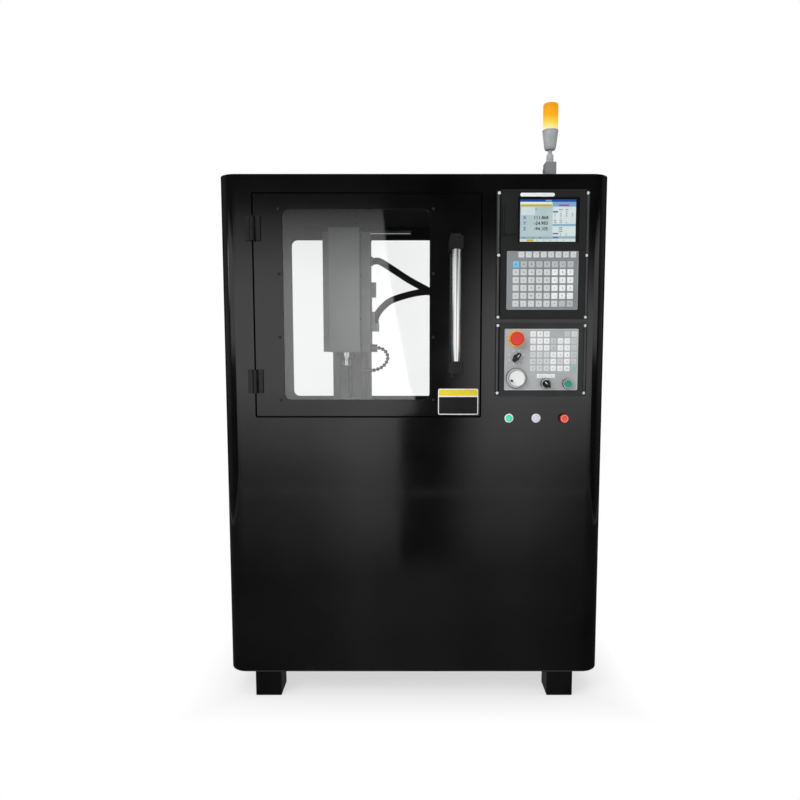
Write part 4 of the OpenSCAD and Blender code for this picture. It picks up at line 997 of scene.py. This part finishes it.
class MACHINE_OT_key_panels(bpy.types.Operator):
    """The two key sheets with their raised keys and legends"""

    bl_idname = "machine.key_panels"
    bl_label = "Key panels"

    soft = ("<", "1", "2", "3", "4", "5", "6", ">")
    upper = ("RABCDEHF", "ONGPL789", "XYZQR456", "IJKMS123", "UVWFT-0.", "<>^ES+/%")
    upper_tone = ("bggggggg", "pppppwww", "pppppwww", "pppppwww", "pppppwww", "ppppppgg")
    jog = (("A", "B", "C", "", "", "<", ">"), ("1", "2", "3", "4", "+X", "+Y", "+"),
           ("5", "6", "7", "8", "-X", "-Y", "-"), ("F", "S", "T", "+Z", "0", "-Z", "%"),
           ("M", "P", "R", "25", "50", "75", "="), ("V", "W", "H", "X1", "10", "100", "I"))
    jog_tone = ("www  dp", "wwwdwwd", "wwwdwwd", "pppwwwd", "pppwpwd", "pppwwwe")

    # Middle, width and height of each sheet, then middle, pitch, key size and letter size of each grid.
    upper_sheet = (PANEL_X - 0.5, 1278.5, 210.0, 170.0)
    lower_sheet = (PANEL_X, 1047.0, 218.0, 182.0)
    soft_grid = ((389.5, 1353.0), 21.7, 17.0, 7.0)
    upper_grid = ((378.0, 1268.0), 22.8, 18.0, 8.0)
    jog_grid = ((412.5, 1071.5), 20.2, 16.5, 7.0)

    def tones(self):
        look = colors()
        kinds = {"p": ("key_pale", look.key), "w": ("key_white", look.key_white),
                 "g": ("key_grey", look.key_grey), "b": ("key_blue", look.key_blue),
                 "e": ("key_green", look.key_green), "d": ("key_dull", [0.86 * c for c in look.key])}
        return {kind: finish(name, color, 0.4, spread=0.05, patch=70.0, grain=3000.0, bump=0.08)
                for kind, (name, color) in kinds.items()}

    def keys(self, shape, texts, tones, centre, pitch, size, letter):
        """Grid of keys; a blank tone leaves the place free."""
        edge = sizes().key_edge * 1000
        ink = key_ink()
        finishes = self.tones()
        rows, columns, top = len(texts), len(texts[0]), 0.8
        levels = [(0, -0.1), (0, top - edge), (0.3 * edge, top - 0.3 * edge), (edge, top),
                  (0.22 * size, top + 0.06)]
        for r in range(rows):
            for c, (word, tone) in enumerate(zip(texts[r], tones[r])):
                if tone == " ":
                    continue
                x = centre[0] + (c - (columns - 1) / 2) * pitch
                z = centre[1] + ((rows - 1) / 2 - r) * pitch
                shape.add(tile(size, size, 1.8, levels, 3), finishes[tone], on_front(x, z, FACE))
                if word.strip():
                    high = letter if len(word) == 1 else 0.8 * letter
                    shape.add(glyph(word, high), ink, on_front(x, z, FACE - 0.87))

    def sheet(self, shape, name, look, x, z, w, h):
        """Membrane on its carrier, whose edge is paler: a painted highlight along the carrier's bevel."""
        body = finish(name, look, 0.46, spread=0.1, patch=9.0, grain=2600.0, bump=0.1, depth=0.0001)
        # Carrier edge at 1.5 times the membrane's colour: a painted highlight on its bevel.
        bevel_highlight = finish(name + "_edge", [1.5 * c for c in look], 0.38, spread=0.08, patch=40.0, grain=2600.0)
        place = on_front(x, z, -6.5)
        shape.add(tile(w, h, 3.0, [(0, 0.0), (0, 1.1), (0.4, 1.42), (2.4, 1.44), (2.6, 1.34)], 5), bevel_highlight,
                  place)
        shape.add(tile(w - 5.0, h - 5.0, 1.4, [(0, 1.2), (0, 1.46), (0.15, 1.5)], 5), body, place)

    def execute(self, context):
        shape = Shape()
        self.sheet(shape, "upper_key_sheet", colors().upper_sheet, *self.upper_sheet)
        self.keys(shape, [self.soft], ["p" * 8], *self.soft_grid)
        self.keys(shape, self.upper, self.upper_tone, *self.upper_grid)
        shape.ride("upper_keys", "cabinet", "pale_membrane", "keypad_upper")
        shape = Shape()
        self.sheet(shape, "lower_key_sheet", colors().lower_sheet, *self.lower_sheet)
        self.keys(shape, self.jog, self.jog_tone, *self.jog_grid)
        ink = white_print()
        for k in range(8):
            a = math.radians(22.5 + 45 * k)
            x, z = OVERRIDE_AT[0] + 22.5 * math.cos(a), OVERRIDE_AT[1] + 21.0 * math.sin(a)
            dot = lathe([(0, -0.05), (1.5, -0.05), (1.5, 0.06), (0, 0.06)], 20)
            shape.add(dot, ink, on_front(x, z, FACE))
        for k in (-1, 0, 1):
            x, z = 391.0 + 18.2 * k, 998.5
            mark = tile(17.4, 11.5, 0.8, [(0, -0.05), (0, 0.12), (0.1, 0.16)], 3)
            shape.add(mark, ink, on_front(x, z, FACE))
            shape.add(glyph(str(k + 1), 6.0), key_ink(), on_front(x, z, FACE - 0.18))
        shape.ride("lower_keys", "cabinet", "pale_membrane", "keypad_lower")
        return {"FINISHED"}


class MACHINE_OT_controls(bpy.types.Operator):
    """Panel frames, port cover, stop button, knobs, handwheel and push buttons"""

    bl_idname = "machine.controls"
    bl_label = "Controls"

    def frames(self):
        look = colors()
        dress("control_panel_upper", panel_coat("upper_frame_coat", look.upper_frame), 0.8)
        dress("control_panel_lower", panel_coat("lower_frame_coat", look.lower_frame), 0.8)
        dress("port_cover", finish("port_cover_plastic", [0.8 * c for c in look.upper_frame], 0.5,
                                   spread=0.2, grain=1800.0, bump=0.3), 0.6)

    def rails(self):
        """Rounded rails along both sides of the frames, each on a black strip between two screws; the strip
        is a painted shadow of the gap beside the rail.
        """
        pale = panel_coat("edge_rail_coat", (0.055, 0.057, 0.06))
        shape = Shape()
        half, shadow_bed, rail = 129.7, 12.0, 6.4
        head, waist, sill, lintel, foot = SCREW_LEVELS
        for side in (-1, 1):
            for low, high in ((foot, lintel), (sill, waist), (waist, head)):
                run = high - low
                place = on_front(PANEL_X + half * side, (low + high) / 2, FRAME_FACE)
                # Black strip under each rail: a painted shadow of the gap beside it.
                shape.add(tile(shadow_bed, run, 0.5, [(0, -0.05), (0, 0.1), (0.1, 0.15)], 2), hard_black(), place)
                shape.add(tile(rail, run - shadow_bed, 3.0, [(0, 0.05), (0, 0.6), (0.6, 1.1), (1.6, 1.4)], 4),
                          pale, place)
        shape.ride("frame_rails", "cabinet", "panel_coat")

    def stop(self):
        x, z = STOP_AT
        look = colors()
        yellow = finish("stop_yellow", look.stop_yellow, 0.32, spread=0.06, patch=60.0, grain=2500.0)
        shape = Shape()
        shape.add(lathe([(7.3, -40), (11, -40), (11, -0.05), (24.5, -0.05), (24.5, 2.2), (23.9, 2.8),
                         (23.2, 3), (15.6, 3), (15, 3.6), (15, 6.5), (14.5, 7), (7.3, 7)], 64,
                        closed=True), yellow, on_front(x, z, FACE))
        shape.add(lathe([(0, 2.9), (1.5, 2.9), (1.5, 3.12), (1.2, 3.2), (0, 3.2)], 16), hard_black(),
                  on_front(x - 20.4, z - 6.5, FACE))
        shape.ride("stop_ring", "cabinet", "yellow_plastic", "estop_ring")
        red = finish("stop_red", look.stop_red, 0.36, spread=0.05, patch=50.0, grain=2500.0)
        shape = Shape()
        shape.add(lathe([(0, -25), (6.6, -25), (7, -24.6), (7, 13), (18.6, 13), (19.7, 14), (20, 15.4),
                         (20, 20.5), (19.6, 22.4), (18.4, 24), (16.6, 24.8), (14.5, 25), (11, 24.7),
                         (6, 24.45), (0, 24.4)], 64), red, on_front(x, z, FACE))
        shape.ride("stop_button", "estop_body", "red_plastic", "estop_button")

    def override(self):
        place = on_front(*OVERRIDE_AT, FACE - 0.3, -40.0)
        shape = Shape()
        ridge = [9.0, 9.6, 9.6, 9.0]

        def ridged(a):
            return ridge[round(a * 24 / math.pi) % 4]

        shape.add(lathe([(0, -14), (3, -14), (3, 0), (ridged, 0), (ridged, 7.6), (8.6, 9), (0, 9)], 48),
                  hard_black(), place)
        shape.add(tile(12.5, 31.0, 5.0, [(0, 1.2), (0, 14.5), (0.6, 16.8), (1.8, 18.0)], 6), hard_black(),
                  place)
        shape.add(tile(1.7, 9.5, 0.5, [(0, 17.9), (0, 18.06), (0.1, 18.1)], 3), white_print(),
                  shifted(place, 0, 6.0))
        shape.ride("override_grip", "override_body", "black_plastic", "override_knob")

    def handwheel(self):
        x, z = WHEEL_AT
        pale = finish("dial_satin", (0.62, 0.63, 0.635), 0.34, metal=0.25, spread=0.06, patch=50.0,
                      grain=2500.0)
        ink = key_ink()
        shape = Shape()
        shape.add(lathe([(6.05, -38), (10, -38), (10, -0.05), (28.9, -0.05), (28.9, 5.6), (28.5, 6),
                         (6.05, 6)], 72, closed=True), pale, on_front(x, z, FACE))
        shape.add(ring(28.6, 30.0, -0.05, 6.0, 0.3, 72), hard_black(), on_front(x, z, FACE))
        for k in range(50):
            long = 2.6 if k % 5 == 0 else 1.6
            place = shifted(on_front(x, z, FACE, 7.2 * k), 0, 28.2 - long / 2)
            shape.add(tile(0.4, long, 0.1, [(0, 5.95), (0, 6.04)], 1), ink, place)
        shape.ride("wheel_dial", "cabinet", "pale_membrane", "handwheel_dial")
        place = on_front(x, z, FACE - 7.0)
        shape = Shape()
        shape.add(lathe([(0, -35), (6, -35), (6, 0), (22.2, 0), (23, 0.8), (23, 9.6), (22.6, 10), (0, 9)],
                        72), hard_black(), place)
        shape.add(lathe([(0, 9.2), (21.5, 9.4), (22.8, 10.2), (22.8, 11.4), (22.3, 12), (20.6, 12),
                         (19.9, 11.5), (19.4, 10.9), (0, 10.6)], 72), white_plastic(), place)
        crank = shifted(place, -16.4, -6.6)
        shape.add(lathe([(0, 9.6), (2.4, 9.6), (2.4, 14), (3.2, 15), (3.5, 17), (3.5, 22.5), (3.1, 23.6),
                         (2.2, 24), (0, 24)], 24), hard_black(), crank)
        shape.ride("wheel", "handwheel_body", "white_plastic", "handwheel")

    def bezels(self):
        collar = hard_black()
        shape = Shape()
        for at, d, out in ((SELECTOR_AT, FACE, 12), (START_AT, FACE, 12), (ON_AT, 0, 4), (WHITE_AT, 0, 4),
                           (OFF_AT, 0, 4)):
            place = on_front(*at, d)
            shape.add(lathe([(9.6, -22), (11, -22), (11, -0.05), (14.5, -0.05), (14.5, out - 1.4),
                             (13.9, out - 0.8), (9.6, out - 0.8)], 48, closed=True), collar, place)
            bore = 11.5 if at == START_AT else 9.6
            shape.add(ring(bore, 13.4, out - 0.9, out, 0.35), collar if at == OFF_AT else white_plastic(),
                      place)
        shape.ride("bezels", "cabinet", "white_plastic", "button_bezels")

    def selector(self):
        place = on_front(*SELECTOR_AT, FACE - 12.0, 45.0)
        shape = Shape()
        shape.add(lathe([(0, -24), (9.3, -24), (9.3, 0.3), (11.6, 0.3), (12, 0.8), (12, 5), (11.4, 6),
                         (0, 6)], 48), hard_black(), place)
        outline = [(-3.75, 11.0), (-3.0, 12.0), (3.0, 12.0), (3.75, 11.0), (3.75, -9.0), (2.6, -14.0),
                   (-2.6, -14.0), (-3.75, -9.0)]
        levels = ((1.0, 5.0), (1.0, 16.0), (0.93, 17.4), (0.8, 18.0))
        shape.add(loft([[(u * k, v * k, w) for u, v in outline] for k, w in levels]), hard_black(), place)
        shape.add(tile(2.0, 9.0, 0.4, [(0, 17.9), (0, 18.06), (0.1, 18.1)], 3), white_print(),
                  shifted(place, 0, 4.6))
        shape.ride("selector_grip", "selector_body", "black_plastic", "selector_knob")

    def button(self, name, at, d, out, color, body, slot, node_name, rib):
        """Lens cap with a crowned face in a collar; rib adds the raised ring of a pilot lens."""
        tone = finish(name + "_lens", color, 0.26, spread=0.07, patch=120.0, grain=2500.0, bump=0.05,
                      coat=0.1, glow=0.1)
        shape = Shape()
        face = [(9.3, 2.9), (11.0, 2.9), (11.2, 3.1), (11.2, 3.3), (10.9, 3.5), (0, 3.5)]
        if rib:
            face = [(9.3, 1.6), (9.0, 2.7), (8.2, 3.3), (6.6, 3.5), (6.2, 3.1), (5.6, 3.1), (5.2, 3.5),
                    (0, 3.5)]
        foot = [(0, -12 - out), (9.0, -12 - out), (9.3, -11.7 - out)]
        shape.add(lathe(foot + face, 48), tone, on_front(*at, d - out))
        shape.ride(name, body, slot, node_name)

    def off_button(self):
        def gloss(name, color):
            return finish(name, color, 0.26, spread=0.06, patch=120.0, grain=2500.0, coat=0.3)

        place = on_front(*OFF_AT)
        shape = Shape()
        shape.add(lathe([(0, -12), (9.3, -12), (9.3, 9.0), (11.8, 9.0), (12.4, 9.8), (12.4, 17.6),
                         (11.9, 19), (10.8, 19.8), (9.2, 20), (8.4, 19.5), (0, 19.3)], 48),
                  gloss("off_button_red", colors().off_red), place)
        shape.add(ring(9.3, 12.0, 8.2, 9.0, 0.25), hard_black(), place)
        # Paler red ring on the dish: a painted highlight of light caught in the concave face.
        shape.add(ring(8.6, 10.6, 19.4, 20.12, 0.3), gloss("off_button_rim", (0.95, 0.30, 0.24)), place)
        shape.ride("off_button", "power_off_body", "red_plastic", "power_off_button")

    def execute(self, context):
        look = colors()
        self.frames()
        self.rails()
        self.stop()
        self.override()
        self.handwheel()
        self.bezels()
        self.selector()
        self.button("start_cap", START_AT, FACE, 12, look.start_teal, "start_body", "teal_lens",
                    "start_button", False)
        self.button("power_cap", ON_AT, 0, 4, look.on_green, "power_on_body", "green_lens",
                    "power_on_button", True)
        self.button("white_cap", WHITE_AT, 0, 4, (0.62, 0.61, 0.68), "white_body", "white_plastic",
                    "white_button", True)
        self.off_button()
        return {"FINISHED"}


class MACHINE_OT_beacon(bpy.types.Operator):
    """Folding bracket, turned housing and ribbed amber lens of the beacon"""

    bl_idname = "machine.beacon"
    bl_label = "Beacon"

    x, d = 450.0, 275.0

    def execute(self, context):
        grey = finish("beacon_shell_grey", colors().beacon, 0.4, spread=0.07, patch=50.0, grain=2200.0)
        dress("beacon_bracket", finish("bracket_grey", [0.55 * c for c in colors().beacon], 0.45,
                                       spread=0.12, patch=40.0, grain=2200.0), 1.0)
        place = upright(self.x, self.d, 0.0)
        shape = Shape()
        shape.add(lathe([(0, 1651), (10.6, 1651), (11.5, 1652), (11.5, 1714), (11.0, 1716), (9.6, 1717.6),
                         (8.6, 1719), (7, 1719.4), (7, 1731.2), (13, 1731.2), (16, 1732.4), (18.2, 1736),
                         (19.4, 1741), (24.2, 1780), (25.2, 1790), (26, 1791), (26, 1794), (25.4, 1795),
                         (0, 1795)], 64), grey, place)
        shape.add(ring(11.4, 12.0, 1700, 1703, 0.25), grey, place)
        shape.ride("beacon_housing", "beacon", "beacon_grey", "beacon_stem")
        count = sizes().lens_ribs

        def ribbed(r):
            return lambda a: r - 0.35 * (0.5 + 0.5 * math.cos(a * count))

        shape = Shape()
        shape.add(lathe([(22.5, 1795), (25, 1795), (25, 1798), (ribbed(24.9), 1799.5),
                         (ribbed(24.9), 1870), (24.9, 1873.5), (24.5, 1876), (23.4, 1878), (21.4, 1879),
                         (16, 1878.6), (14, 1878.2), (0.4, 1878), (0.4, 1873), (21.0, 1872.5),
                         (22.5, 1871)], 144, closed=True), lens_finish(), place)
        shape.ride("ribbed_lens", "beacon", "amber_lens", "beacon_lens")
        core = finish("lamp_core", (0.9, 0.78, 0.42), 0.4, spread=0.08, patch=90.0, glow=0.9)
        shape = Shape()
        shape.add(lathe([(0, 1795.2), (9, 1795.2), (9, 1802), (6.5, 1804), (6.5, 1822), (5.2, 1827),
                         (2.6, 1829.5), (0, 1830)], 32), core, place)
        shape.ride("lamp_core", "beacon", "amber_lens")
        return {"FINISHED"}


class MACHINE_OT_mill(bpy.types.Operator):
    """Finishes of the castings, rails, table, motors, cover and manifold, and the light bar"""

    bl_idname = "machine.mill"
    bl_label = "Mill"

    def light_bar(self):
        low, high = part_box("work_light")
        x0, x1 = low.x * 1000, high.x * 1000
        d0, d1 = low.y * 1000 - FRONT, high.y * 1000 - FRONT
        z = (low.z + high.z) * 500
        alloy = finish("light_channel", (0.55, 0.56, 0.57), 0.32, metal=1.0, spread=0.08,
                       streak=(0.05, 1.0, 1.0))
        glow = finish("light_segment", (0.62, 0.74, 0.73), 0.3, spread=0.05, patch=200.0, glow=0.7,
                      body=0.3)
        place = on_front((x0 + x1) / 2, z, d1)
        deep = d1 - d0
        shape = Shape()
        shape.add(tile(x1 - x0, 16.0, 1.2, [(0, 0), (0, deep - 1.0), (0.5, deep), (2.0, deep),
                                            (2.2, deep - 1.2)], 4), alloy, place)
        step, margin = 10, 6
        count = int((x1 - x0 - margin) / step)
        for k in range(count):
            u = (k - (count - 1) / 2) * step
            shape.add(plate(7.0, 3.4, 1.0, deep - 1.3, deep - 0.3), glow, shifted(place, u, -4.4))
        shape.ride("light_bar", "cabinet", "light_strip", "work_light")

    def cover_screws(self):
        shape = Shape()
        head = screw_head(3.6, 2.0)
        for out, d, levels in ((53.0, 345.0, (1090.0, 1180.0, 1330.0, 1465.0)),
                               (84.0, 458.0, (1315.0, 1465.0))):
            for z in levels:
                shape.add(head, dark_screw(), lying(MILL_X + out, d, z))
                shape.add(head, dark_screw(), lying(MILL_X - out, d, z) @ Matrix.Rotation(math.pi, 4, "Y"))
        shape.ride("cover_screws", "head_slide", "dark_screw")

    def execute(self, context):
        for name in ("machine_base", "column", "saddle", "head_body"):
            dress(name, casting_coat(), 1.6)
        dress("head_cover", finish("cover_coat", colors().cover, 0.4, spread=0.1, patch=8.0, grain=900.0,
                                   bump=0.25), 1.0)
        ground = finish("ground_table", (0.50, 0.51, 0.52), 0.3, metal=1.0, spread=0.1, patch=12.0,
                        streak=(0.05, 1.0, 1.0), grain=1500.0, bump=0.15)
        dress("table", ground, 0.8)
        rail = finish("oiled_rail", (0.30, 0.31, 0.315), 0.42, metal=0.5, spread=0.12, patch=20.0,
                      streak=(1.0, 1.0, 0.1), grain=1400.0, bump=0.1)
        dress("guide_rails", rail, 1.0)
        dress("x_rails", rail, 1.0)
        motor = finish("motor_housing_black", (0.012, 0.012, 0.013), 0.4, spread=0.25, patch=30.0,
                       grain=1500.0, bump=0.25)
        for name in ("axis_motors", "x_motor", "spindle_motor"):
            dress(name, motor, 1.0)
        dress("coolant_manifold", finish("cast_alloy", (0.42, 0.43, 0.44), 0.38, metal=0.8, spread=0.12,
                                         patch=40.0, grain=900.0, bump=0.3), 1.0)
        self.light_bar()
        self.cover_screws()
        return {"FINISHED"}


class MACHINE_OT_ball_screws(bpy.types.Operator):
    """The three ball screws with their helical grooves"""

    bl_idname = "machine.ball_screws"
    bl_label = "Ball screws"

    radius, hub_z = 8.0, 1402.0

    def thread(self, run, r):
        """Screw along w from 0, plain at both ends."""
        lead, groove = sizes().screw_lead * 1000, sizes().screw_groove * 1000
        sides, per_turn, plain, runout, half_width = 20, 8, 18.0, 4.0, 0.36
        rings = int(run / lead * per_turn)
        loops = []
        for k in range(rings + 1):
            w = run * k / rings
            fade = min(max(min(w, run - w) - plain, 0.0) / runout, 1.0)
            loop = []
            for j in range(sides):
                a = 2 * math.pi * j / sides
                phase = (w / lead - j / sides) % 1.0
                dip = math.sqrt(max(1 - ((phase - 0.5) / half_width) ** 2, 0.0))
                reach = r - groove * fade * dip
                loop.append((reach * math.cos(a), reach * math.sin(a), w))
            loops.append(loop)
        return loft(loops)

    def execute(self, context):
        steel = finish("screw_steel", (0.50, 0.51, 0.53), 0.2, metal=1.0, spread=0.1, patch=40.0,
                       grain=1500.0, bump=0.08)
        for name, axis, turn in (("x_screw", 0, lying), ("y_screw", 1, on_back), ("z_screw", 2, upright)):
            low, high = [1000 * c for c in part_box(name)]
            run = high[axis] - low[axis]
            middle = (low + high) / 2
            place = Matrix.Translation([low[i] if i == axis else middle[i] for i in range(3)])
            place = place @ turn(0, 0, 0).to_3x3().to_4x4()
            shape = Shape()
            shape.add(self.thread(run, self.radius), steel, place)
            if name == "z_screw":
                hub = shifted(place, 0, 0, self.hub_z - low[2])
                shape.add(lathe([(7.9, 0), (15.4, 0), (16, 0.6), (16, 14), (14.8, 14.6), (14.8, 17),
                                 (16, 17.6), (16, 21), (14.8, 21.6), (14.8, 24), (16, 24.6), (16, 35.4),
                                 (15.4, 36), (7.9, 36)], 48, closed=True), bright_steel(), hub)
            shape.ride("grooved_" + name, name + "_rotor", "bright_steel", name, sharp=70.0)
        return {"FINISHED"}


class MACHINE_OT_spindle(bpy.types.Operator):
    """Spindle with its flange and notched collet nut"""

    bl_idname = "machine.spindle"
    bl_label = "Spindle"

    def execute(self, context):
        steel = finish("spindle_steel", (0.80, 0.81, 0.82), 0.18, metal=1.0, spread=0.06, patch=60.0,
                       grain=1800.0, bump=0.06)

        def notched(a):
            return 18.6 if (a * 6 / (2 * math.pi)) % 1.0 < 0.26 else 20.0

        shape = Shape()
        shape.add(lathe([(0, 1042), (6.5, 1042), (6.5, 1012.8), (7.2, 1012), (12.5, 1012), (13.4, 1012.5),
                         (17.2, 1016.4), (18.6, 1017.6), (notched, 1018.2), (notched, 1034), (18.4, 1035),
                         (18.4, 1039), (19.4, 1039.6), (20, 1040.4), (20, 1047.6), (30.6, 1048),
                         (32, 1049.2), (32, 1063.6), (31, 1064.7), (25, 1064.7), (25, 1249.7),
                         (0, 1249.7)], 72), steel, upright(MILL_X, AXIS_D, 0.0))
        shape.ride("collet_spindle", "spindle_rotor", "bright_steel", "spindle")
        return {"FINISHED"}


class MACHINE_OT_coolant(bpy.types.Operator):
    """Beaded coolant hose with its tapered nozzle"""

    bl_idname = "machine.coolant"
    bl_label = "Coolant hose"

    route = [(0, 0, 0), (8, 0, 0), (18, -2, -3), (27, -4, -9), (34, -7, -18), (38, -10, -28),
             (38, -14, -39), (34, -18, -50), (27, -22, -60), (18, -26, -68), (7, -30, -74),
             (-5, -34, -78), (-17, -38, -80)]
    tip = (-66, -52, -83)
    start = (HEAD_RIGHT + 22.0, FRONT + 445.0, 1078.0)

    def execute(self, context):
        start = Vector(self.start)
        waist, pitch = sizes().bead_waist * 1000, sizes().bead_pitch * 1000
        beads = finish("hose_bead_plastic", colors().hose, 0.42, spread=0.15, patch=60.0, grain=2000.0)
        nozzle = finish("nozzle_plastic", colors().nozzle, 0.4, spread=0.1, patch=60.0, grain=2000.0)
        points, run = even(spline([start + Vector(p) for p in self.route]), pitch / 12)
        count = round(run / pitch)
        radii, widest, crest, half = [], 7.6, 0.46, 0.44
        for k in range(len(points)):
            part = (count * k / (len(points) - 1)) % 1.0
            bulge = max(1 - abs(part - crest) / half, 0.0) ** 0.75
            radii.append(waist + (widest - waist) * bulge)
        shape = Shape()
        shape.add(sweep(points, radii, 24), beads)
        end, tip = points[-1], start + Vector(self.tip)
        steps = ((0.0, 6.6), (0.06, 7.0), (0.2, 7.0), (0.26, 5.6), (0.3, 5.2), (0.62, 3.6), (0.97, 2.6),
                 (1.0, 2.3))
        shape.add(sweep([end.lerp(tip, k) for k, r in steps], [r for k, r in steps], 24), nozzle)
        shape.ride("beaded_hose", "head_slide", "hose_plastic", "coolant_hose", sharp=45.0)
        print(f"coolant hose is {(run + (tip - end).length) / 1000:.3f} m long")
        return {"FINISHED"}


class MACHINE_OT_plates(bpy.types.Operator):
    """Blank plates: the name strip over the display and the plate on the door"""

    bl_idname = "machine.plates"
    bl_label = "Plates"

    strip_at, strip_face, plate_at = (357.5, 1523.4), -10.0, (132.0, 921.0)

    def execute(self, context):
        shape = Shape()
        silver = finish("blank_strip", (0.78, 0.79, 0.80), 0.3, spread=0.06, patch=40.0,
                        streak=(0.05, 1.0, 1.0), grain=1800.0)
        shape.add(plate(100.0, 10.6, 5.0, -0.05, 0.7, 0.25), silver,
                  on_front(*self.strip_at, self.strip_face))
        shape.ride("name_strip", "cabinet", "panel_coat")
        shape = Shape()
        place = on_front(*self.plate_at)
        border = print_ink("plate_border", (0.80, 0.81, 0.80))
        field = print_ink("plate_field", (0.008, 0.008, 0.008))
        stripe = print_ink("plate_band", (0.80, 0.62, 0.015))
        shape.add(plate(120.0, 78.0, 5.0, -0.05, 0.5, 0.2), border, place)
        shape.add(plate(115.0, 50.5, 2.0, 0.45, 0.58, 0.06), field, shifted(place, 0, -11.0))
        shape.add(plate(115.0, 17.5, 2.0, 0.45, 0.58, 0.06), stripe, shifted(place, 0, 27.0))
        shape.ride("door_plate", "door", "black_coat")
        return {"FINISHED"}


OPERATORS = (MACHINE_OT_stage, MACHINE_OT_conduits, MACHINE_OT_cabinet, MACHINE_OT_door,
             MACHINE_OT_fasteners, MACHINE_OT_display, MACHINE_OT_key_panels, MACHINE_OT_controls,
             MACHINE_OT_beacon, MACHINE_OT_mill, MACHINE_OT_ball_screws, MACHINE_OT_spindle,
             MACHINE_OT_coolant, MACHINE_OT_plates)
GROUPS = {"machine_colors": MachineColors, "machine_sizes": MachineSizes, "machine_studio": MachineStudio}


class MACHINE_PT_looks(bpy.types.Panel):
    """Pieces, colours and sizes of the machine"""

    bl_label = "Machining center"
    bl_space_type = "VIEW_3D"
    bl_region_type = "UI"
    bl_category = "Machine"

    def draw(self, context):
        for operator in OPERATORS:
            self.layout.operator(operator.bl_idname)
        for name, group in GROUPS.items():
            box = self.layout.box()
            for prop in group.__annotations__:
                box.prop(getattr(context.scene, name), prop)


def register():
    for kind in (*GROUPS.values(), *OPERATORS, MACHINE_PT_looks):
        bpy.utils.register_class(kind)
    for name, group in GROUPS.items():
        setattr(bpy.types.Scene, name, PointerProperty(type=group))


def unregister():
    for name in GROUPS:
        delattr(bpy.types.Scene, name)
    for kind in reversed((*GROUPS.values(), *OPERATORS, MACHINE_PT_looks)):
        bpy.utils.unregister_class(kind)


def main():
    register()
    for operator in OPERATORS:
        group, name = operator.bl_idname.split(".")
        getattr(getattr(bpy.ops, group), name)()


if __name__ == "__main__":
    main()
